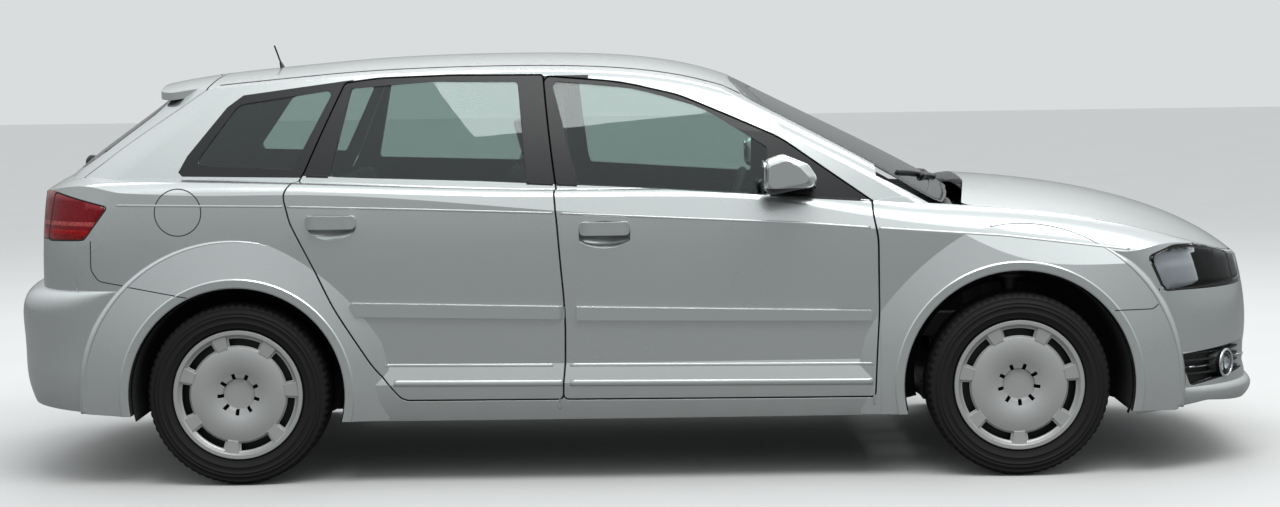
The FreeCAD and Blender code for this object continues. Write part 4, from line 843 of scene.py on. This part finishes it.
# Fog lamps: bright ring, bowl, lens and one bright strip to each side
FOG_Z = 0.346
fog_skin = skin_of("fog_lamps", "front_bumper")
for side, g in SIDES:
    hit = fog_skin.ray_cast(Vector((1.961, 1.4 * g, FOG_Z)), Vector((0, -g, 0)))[0]
    at = Vector((1.968, (abs(hit.y) if hit else 0.66) * g, FOG_Z))
    out = Vector((0.78, 0.62 * g, 0.0)).normalized()
    o = ring("fog_ring_" + side, at + out * 0.012, out, 0.044, 0.005, "chassis", M["chrome"])
    o = bowl("fog_bowl_" + side, at + out * 0.010, out, 0.040, 0.022, "chassis", M["reflector"])
    o = dome("fog_lens_" + side, at + out * 0.009, out, 0.040, 0.012, "chassis", M["clear"])
    for i, ends in enumerate(([(1.835, 0.343), (1.905, 0.346)], [(2.02, 0.352), (2.085, 0.356)])):
        name = "fog_strip_%s_%d" % (side, i)
        o = ribbon(name, fog_skin, dense(ends, 0.01), 0.007, 0.004, g, "chassis", M["satin"])

# Mirrors: dark foot, glass in the rear face
MIRROR_FOOT_Z = 0.968
MIRROR_PANE = [(0.868, 0.968), (0.978, 0.980), (0.986, 1.050), (0.872, 1.056)]
M["mirror_paint"] = paint("paint_mirrors", black=lambda t: t.math("LESS_THAN", t.axis(2), MIRROR_FOOT_Z))
dress("mirror_paint", "mirror_left", "mirror_right")
for side, g in SIDES:
    lo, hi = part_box("mirror_" + side)
    corners = [(lo.x - 0.0025 + 0.02 * (y - 0.868), y * g, z) for y, z in rounded(MIRROR_PANE, 0.022)]
    o = slab("mirror_pane_" + side, corners, 0.006, (1, 0, 0), "door_front_" + side, M["mirror"], 0.001)


# Dark splash shields inside the arches, with a lip down to the inner radius
SHIELD_LIP = 0.317


def shield(name, x, radius, y0, y1, a0, a1, g):
    bm = bmesh.new()
    rows = []
    for k in range(73):
        a = math.radians(a0 + (a1 - a0) * k / 72.0)
        wave = 0.0015 * math.sin(k * 0.9)
        section = ((radius, y1), (radius + wave, (y0 + y1) / 2), (radius, y0), (SHIELD_LIP, y0 - 0.002),
                   (SHIELD_LIP, y0 + 0.002), (radius - 0.004, y0 + 0.005), (radius - 0.004, y1))
        c, s = math.cos(a), math.sin(a)
        rows.append([bm.verts.new((x + r * c, y * g, AXLE_Z + r * s)) for r, y in section])
    for r0, r1 in zip(rows, rows[1:]):
        bridge(bm, r0, r1)
    bm.faces.new(rows[0])
    bm.faces.new(list(reversed(rows[-1])))
    o = from_bmesh(name, bm, "chassis", M["liner"])


for side, g in SIDES:
    shield("front_shield_" + side, FRONT_X, FRONT_ARCH - 0.0035, 0.56, 0.838, -13.5, 193.0, g)
    shield("rear_shield_" + side, REAR_X, REAR_ARCH - 0.0035, 0.61, 0.838, -14.0, 194.0, g)


# Soft seats: crowned blocks with rounded sides, sewn channels and piping
def resample(points, n):
    closed = points + [points[0]]
    lengths = [0.0]
    for a, b in zip(closed, closed[1:]):
        lengths.append(lengths[-1] + math.hypot(b[0] - a[0], b[1] - a[1]))
    out = []
    k = 0
    for i in range(n):
        d = lengths[-1] * i / n
        while lengths[k + 1] < d:
            k += 1
        f = (d - lengths[k]) / ((lengths[k + 1] - lengths[k]) or 1.0)
        (x0, z0), (x1, z1) = closed[k], closed[k + 1]
        out.append((x0 + (x1 - x0) * f, z0 + (z1 - z0) * f))
    return out


# Piping: a closed round bead through the points
def tube(bm, points, r, seg=8):
    n = len(points)
    turns = [facing(points[(i + 1) % n] - points[i - 1]) for i in range(n)]
    rings = [circle(bm, p, q, r, 0, seg) for p, q in zip(points, turns)]
    for i in range(n):
        r0, r1 = rings[i], rings[(i + 1) % n]
        best = min(range(seg), key=lambda k: (r1[k].co - r0[0].co).length)
        bridge(bm, r0, r1[best:] + r1[:best])


# Padded block: an outline in side view carried across y, crowned on the side that faces out, with sewn lines
def soft_block(name, outline, yc, half, edge, sewn, cross, face, radius=0.03, crown=0.010):
    pts = resample(rounded(outline, radius), 120)
    n = len(pts)
    area = sum(pts[i - 1][0] * pts[i][1] - pts[i][0] * pts[i - 1][1] for i in range(n))
    turn = 1.0 if area > 0 else -1.0
    normals = []
    for i in range(n):
        dx, dz = pts[(i + 1) % n][0] - pts[i - 1][0], pts[(i + 1) % n][1] - pts[i - 1][1]
        le = math.hypot(dx, dz)
        normals.append((turn * dz / le, -turn * dx / le))
    cx, cz = sum(q[0] for q in pts) / n, sum(q[1] for q in pts) / n
    fl = math.hypot(*face)
    front = [max(0.0, (a * face[0] + b * face[1]) / fl) for a, b in normals]

    def at(i, t):
        over = max(0.0, (abs(t) * half - (half - edge)) / edge)
        inset = edge * (1.0 - math.sqrt(max(0.0, 1.0 - min(1.0, over) ** 2)))
        x, z = pts[i]
        dip = sum(0.007 * math.exp(-((abs(t) - c) / 0.022) ** 2) for c in sewn)
        dip += sum(0.005 * math.exp(-((x - u) ** 2 + 0.15 * (z - v) ** 2) / 0.00018) for u, v in cross)
        fold = 0.0012 * math.sin(37.0 * t + 5.0 * z) * math.sin(61.0 * x + 23.0 * z)
        up = crown * (1.0 - t * t) * front[i] - crown - inset - dip * front[i] + fold * front[i]
        return Vector((x + normals[i][0] * up, yc + half * t, z + normals[i][1] * up))

    bm = bmesh.new()
    steps = [math.sin(math.pi / 2 * (-1 + 2 * k / 56.0)) for k in range(57)]
    rings = [[bm.verts.new(at(i, t)) for i in range(n)] for t in steps]
    for r0, r1 in zip(rings, rings[1:]):
        bridge(bm, r0, r1)
    for ring0, t in ((rings[0], -1.0), (rings[-1], 1.0)):
        prev = ring0
        for f, bulge in ((0.8, 0.0012), (0.5, 0.0020), (0.2, 0.0024)):
            spots = [(cx + (v.co.x - cx) * f, v.co.y + t * bulge, cz + (v.co.z - cz) * f) for v in ring0]
            cur = [bm.verts.new(p) for p in spots]
            bridge(bm, prev, cur)
            prev = cur
        bm.faces.new(prev)
    for sgn in (-1, 1):
        t = sgn * (1.0 - 0.55 * edge / half)
        tube(bm, [at(i, t) for i in range(n)], 0.0028)
    o = from_bmesh(name, bm, "chassis", M["cloth"])
    return o


cloth = Tree("seat_cloth")
wave = cloth.nt.nodes.new("ShaderNodeTexWave")
wave.inputs["Scale"].default_value = 420.0
wave.bands_direction = "DIAGONAL"
cloth.link(cloth.coords.outputs["Object"], wave.inputs["Vector"])
weave = cloth.math("MULTIPLY", wave.outputs["Fac"], cloth.noise(900.0, 2.0))
tone = cloth.mix(cloth.noise(4.0, 4.0), (0.030, 0.031, 0.033), (0.044, 0.045, 0.048))
cloth.set(Base_Color=cloth.mix(weave, tone, (0.085, 0.087, 0.090)), Roughness=0.95)
cloth.set(Normal=cloth.bump(weave, 0.6, 0.0006))
cloth.bsdf.inputs["Sheen Weight"].default_value = 0.3
M["cloth"] = cloth.mat
FRONT_CUSHION = [(-0.255, 0.335), (0.245, 0.352), (0.258, 0.465), (0.0, 0.478), (-0.235, 0.430)]
FRONT_BACK = [(-0.226, 0.385), (-0.135, 0.405), (-0.152, 0.48), (-0.262, 0.76), (-0.362, 1.036),
              (-0.436, 1.036), (-0.348, 0.56)]
HEAD_REST = [(-0.385, 1.062), (-0.322, 1.062), (-0.352, 1.188), (-0.418, 1.188)]
REAR_CUSHION = [(-0.955, 0.262), (-0.505, 0.262), (-0.445, 0.465), (-0.855, 0.438)]
REAR_BACK = [(-0.872, 0.470), (-0.962, 0.860), (-0.992, 0.994), (-1.062, 0.994), (-0.992, 0.60),
             (-0.975, 0.45)]
for side, g in SIDES:
    yc = 0.365 * g
    cushion = soft_block("seat_cushion_" + side, FRONT_CUSHION, yc, 0.248, 0.045, (0.60,),
                         ((0.10, 0.475), (-0.05, 0.47)), (0.0, 1.0))
    soft_block("seat_back_" + side, FRONT_BACK, yc, 0.236, 0.036, (0.62,),
               ((-0.20, 0.62), (-0.29, 0.84)), (1.0, 0.25))
    soft_block("seat_head_" + side, HEAD_REST, yc, 0.128, 0.030, (0.72,), (), (1.0, 0.2), 0.022, 0.006)
    for k in (-1, 1):
        bm = bmesh.new()
        a, b = Vector((-0.398, yc + 0.045 * k, 1.015)), Vector((-0.376, yc + 0.045 * k, 1.085))
        rings = [circle(bm, p, facing(b - a), 0.006, 0, 14) for p in (a, b)]
        bridge(bm, *rings)
        bm.faces.new(rings[0])
        bm.faces.new(rings[1])
        o = from_bmesh("seat_post_%s_%d" % (side, k), bm, "chassis", M["chrome"])
    corners = [(x, yc + y, 0.262) for x, y in ((-0.2, -0.19), (0.2, -0.19), (0.2, 0.19), (-0.2, 0.19))]
    base = slab("seat_base_" + side, corners, 0.082, (0, 0, 1), "chassis", M["cabin"], 0.012)
    if g == 1:
        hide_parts("front_seats")
cushion = soft_block("rear_cushion", REAR_CUSHION, 0.0, 0.556, 0.045, (0.02, 0.45),
                     ((-0.62, 0.452),), (0.0, 1.0))
soft_block("rear_back", REAR_BACK, 0.0, 0.556, 0.030, (0.20, 0.62), ((-0.93, 0.70),), (1.0, 0.2), 0.02)
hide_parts("rear_bench")

# Floor: pale to the camera, dark to the paint that mirrors it
scene = bpy.context.scene
t = Tree("floor_pale")
ray = t.nt.nodes.new("ShaderNodeLightPath")
pale = t.mix(t.noise(1.5, 4.0), (0.60, 0.60, 0.595), (0.64, 0.64, 0.635))
t.set(Base_Color=t.mix(ray.outputs["Is Camera Ray"], (0.17, 0.17, 0.168), pale), Roughness=0.9)
bm = bmesh.new()
bmesh.ops.create_grid(bm, x_segments=1, y_segments=1, size=40.0)
mesh = bpy.data.meshes.new("floor")
bm.to_mesh(mesh)
bm.free()
floor = bpy.data.objects.new("floor", mesh)
scene.collection.objects.link(floor)
floor.location = (0, 0, -0.0015)
mesh.materials.append(t.mat)

# World: bright overhead and dim at the horizon, and an even pale ground to the camera itself
world = bpy.data.worlds.new("studio")
scene.world = world
world.use_nodes = True
nt = world.node_tree
bg = nt.nodes["Background"]
coords = nt.nodes.new("ShaderNodeTexCoord")
split = nt.nodes.new("ShaderNodeSeparateXYZ")
nt.links.new(coords.outputs["Generated"], split.inputs[0])
sky = nt.nodes.new("ShaderNodeValToRGB")
nt.links.new(split.outputs[2], sky.inputs[0])
stops = [(0.0, 0.34), (0.14, 0.50), (0.35, 0.74), (0.65, 0.98), (1.0, 1.15)]
while len(sky.color_ramp.elements) < len(stops):
    sky.color_ramp.elements.new(0.5)
for e, (pos, v) in zip(sky.color_ramp.elements, stops):
    e.position = pos
    e.color = (v * 0.95, v * 0.985, v, 1.0)
path = nt.nodes.new("ShaderNodeLightPath")
mix = nt.nodes.new("ShaderNodeMix")
mix.data_type = "RGBA"
nt.links.new(path.outputs["Is Camera Ray"], mix.inputs["Factor"])
nt.links.new(sky.outputs[0], mix.inputs[6])
mix.inputs[7].default_value = (0.70, 0.72, 0.73, 1.0)
nt.links.new(mix.outputs[2], bg.inputs["Color"])
bg.inputs["Strength"].default_value = 1.0


# Two soft lights
def area(name, at, aim, size, size_y, power):
    light = bpy.data.lights.new(name, "AREA")
    light.shape = "RECTANGLE"
    light.size = size
    light.size_y = size_y
    light.energy = power
    o = bpy.data.objects.new(name, light)
    o.location = at
    o.rotation_euler = (Vector(aim) - Vector(at)).to_track_quat("-Z", "Y").to_euler()
    scene.collection.objects.link(o)


area("key", (1.5, -4.0, 7.0), (0.2, 0, 0.6), 7.0, 3.0, 330)
area("rim", (0.0, 5.0, 6.0), (0, 0, 0.8), 8.0, 2.0, 220)

# Camera as solved from the photograph
EYE = (0.0919, -9.1563, 1.4498)
YAW, PITCH, ROLL = 0.0085, 0.0837, 0.0148
ahead = Vector((-math.sin(YAW) * math.cos(PITCH), math.cos(YAW) * math.cos(PITCH), -math.sin(PITCH)))
level = Vector((math.cos(YAW), math.sin(YAW), 0.0))
upright = level.cross(ahead)
right = level * math.cos(ROLL) - upright * math.sin(ROLL)
up = level * math.sin(ROLL) + upright * math.cos(ROLL)
cam = bpy.data.cameras.new("camera")
cam.sensor_width = 36.0
cam.lens = 71.39
camera = bpy.data.objects.new("camera", cam)
camera.matrix_world = Matrix(((right.x, up.x, -ahead.x, EYE[0]), (right.y, up.y, -ahead.y, EYE[1]),
                              (right.z, up.z, -ahead.z, EYE[2]), (0, 0, 0, 1)))
scene.collection.objects.link(camera)
scene.camera = camera
scene.view_settings.view_transform = "Standard"
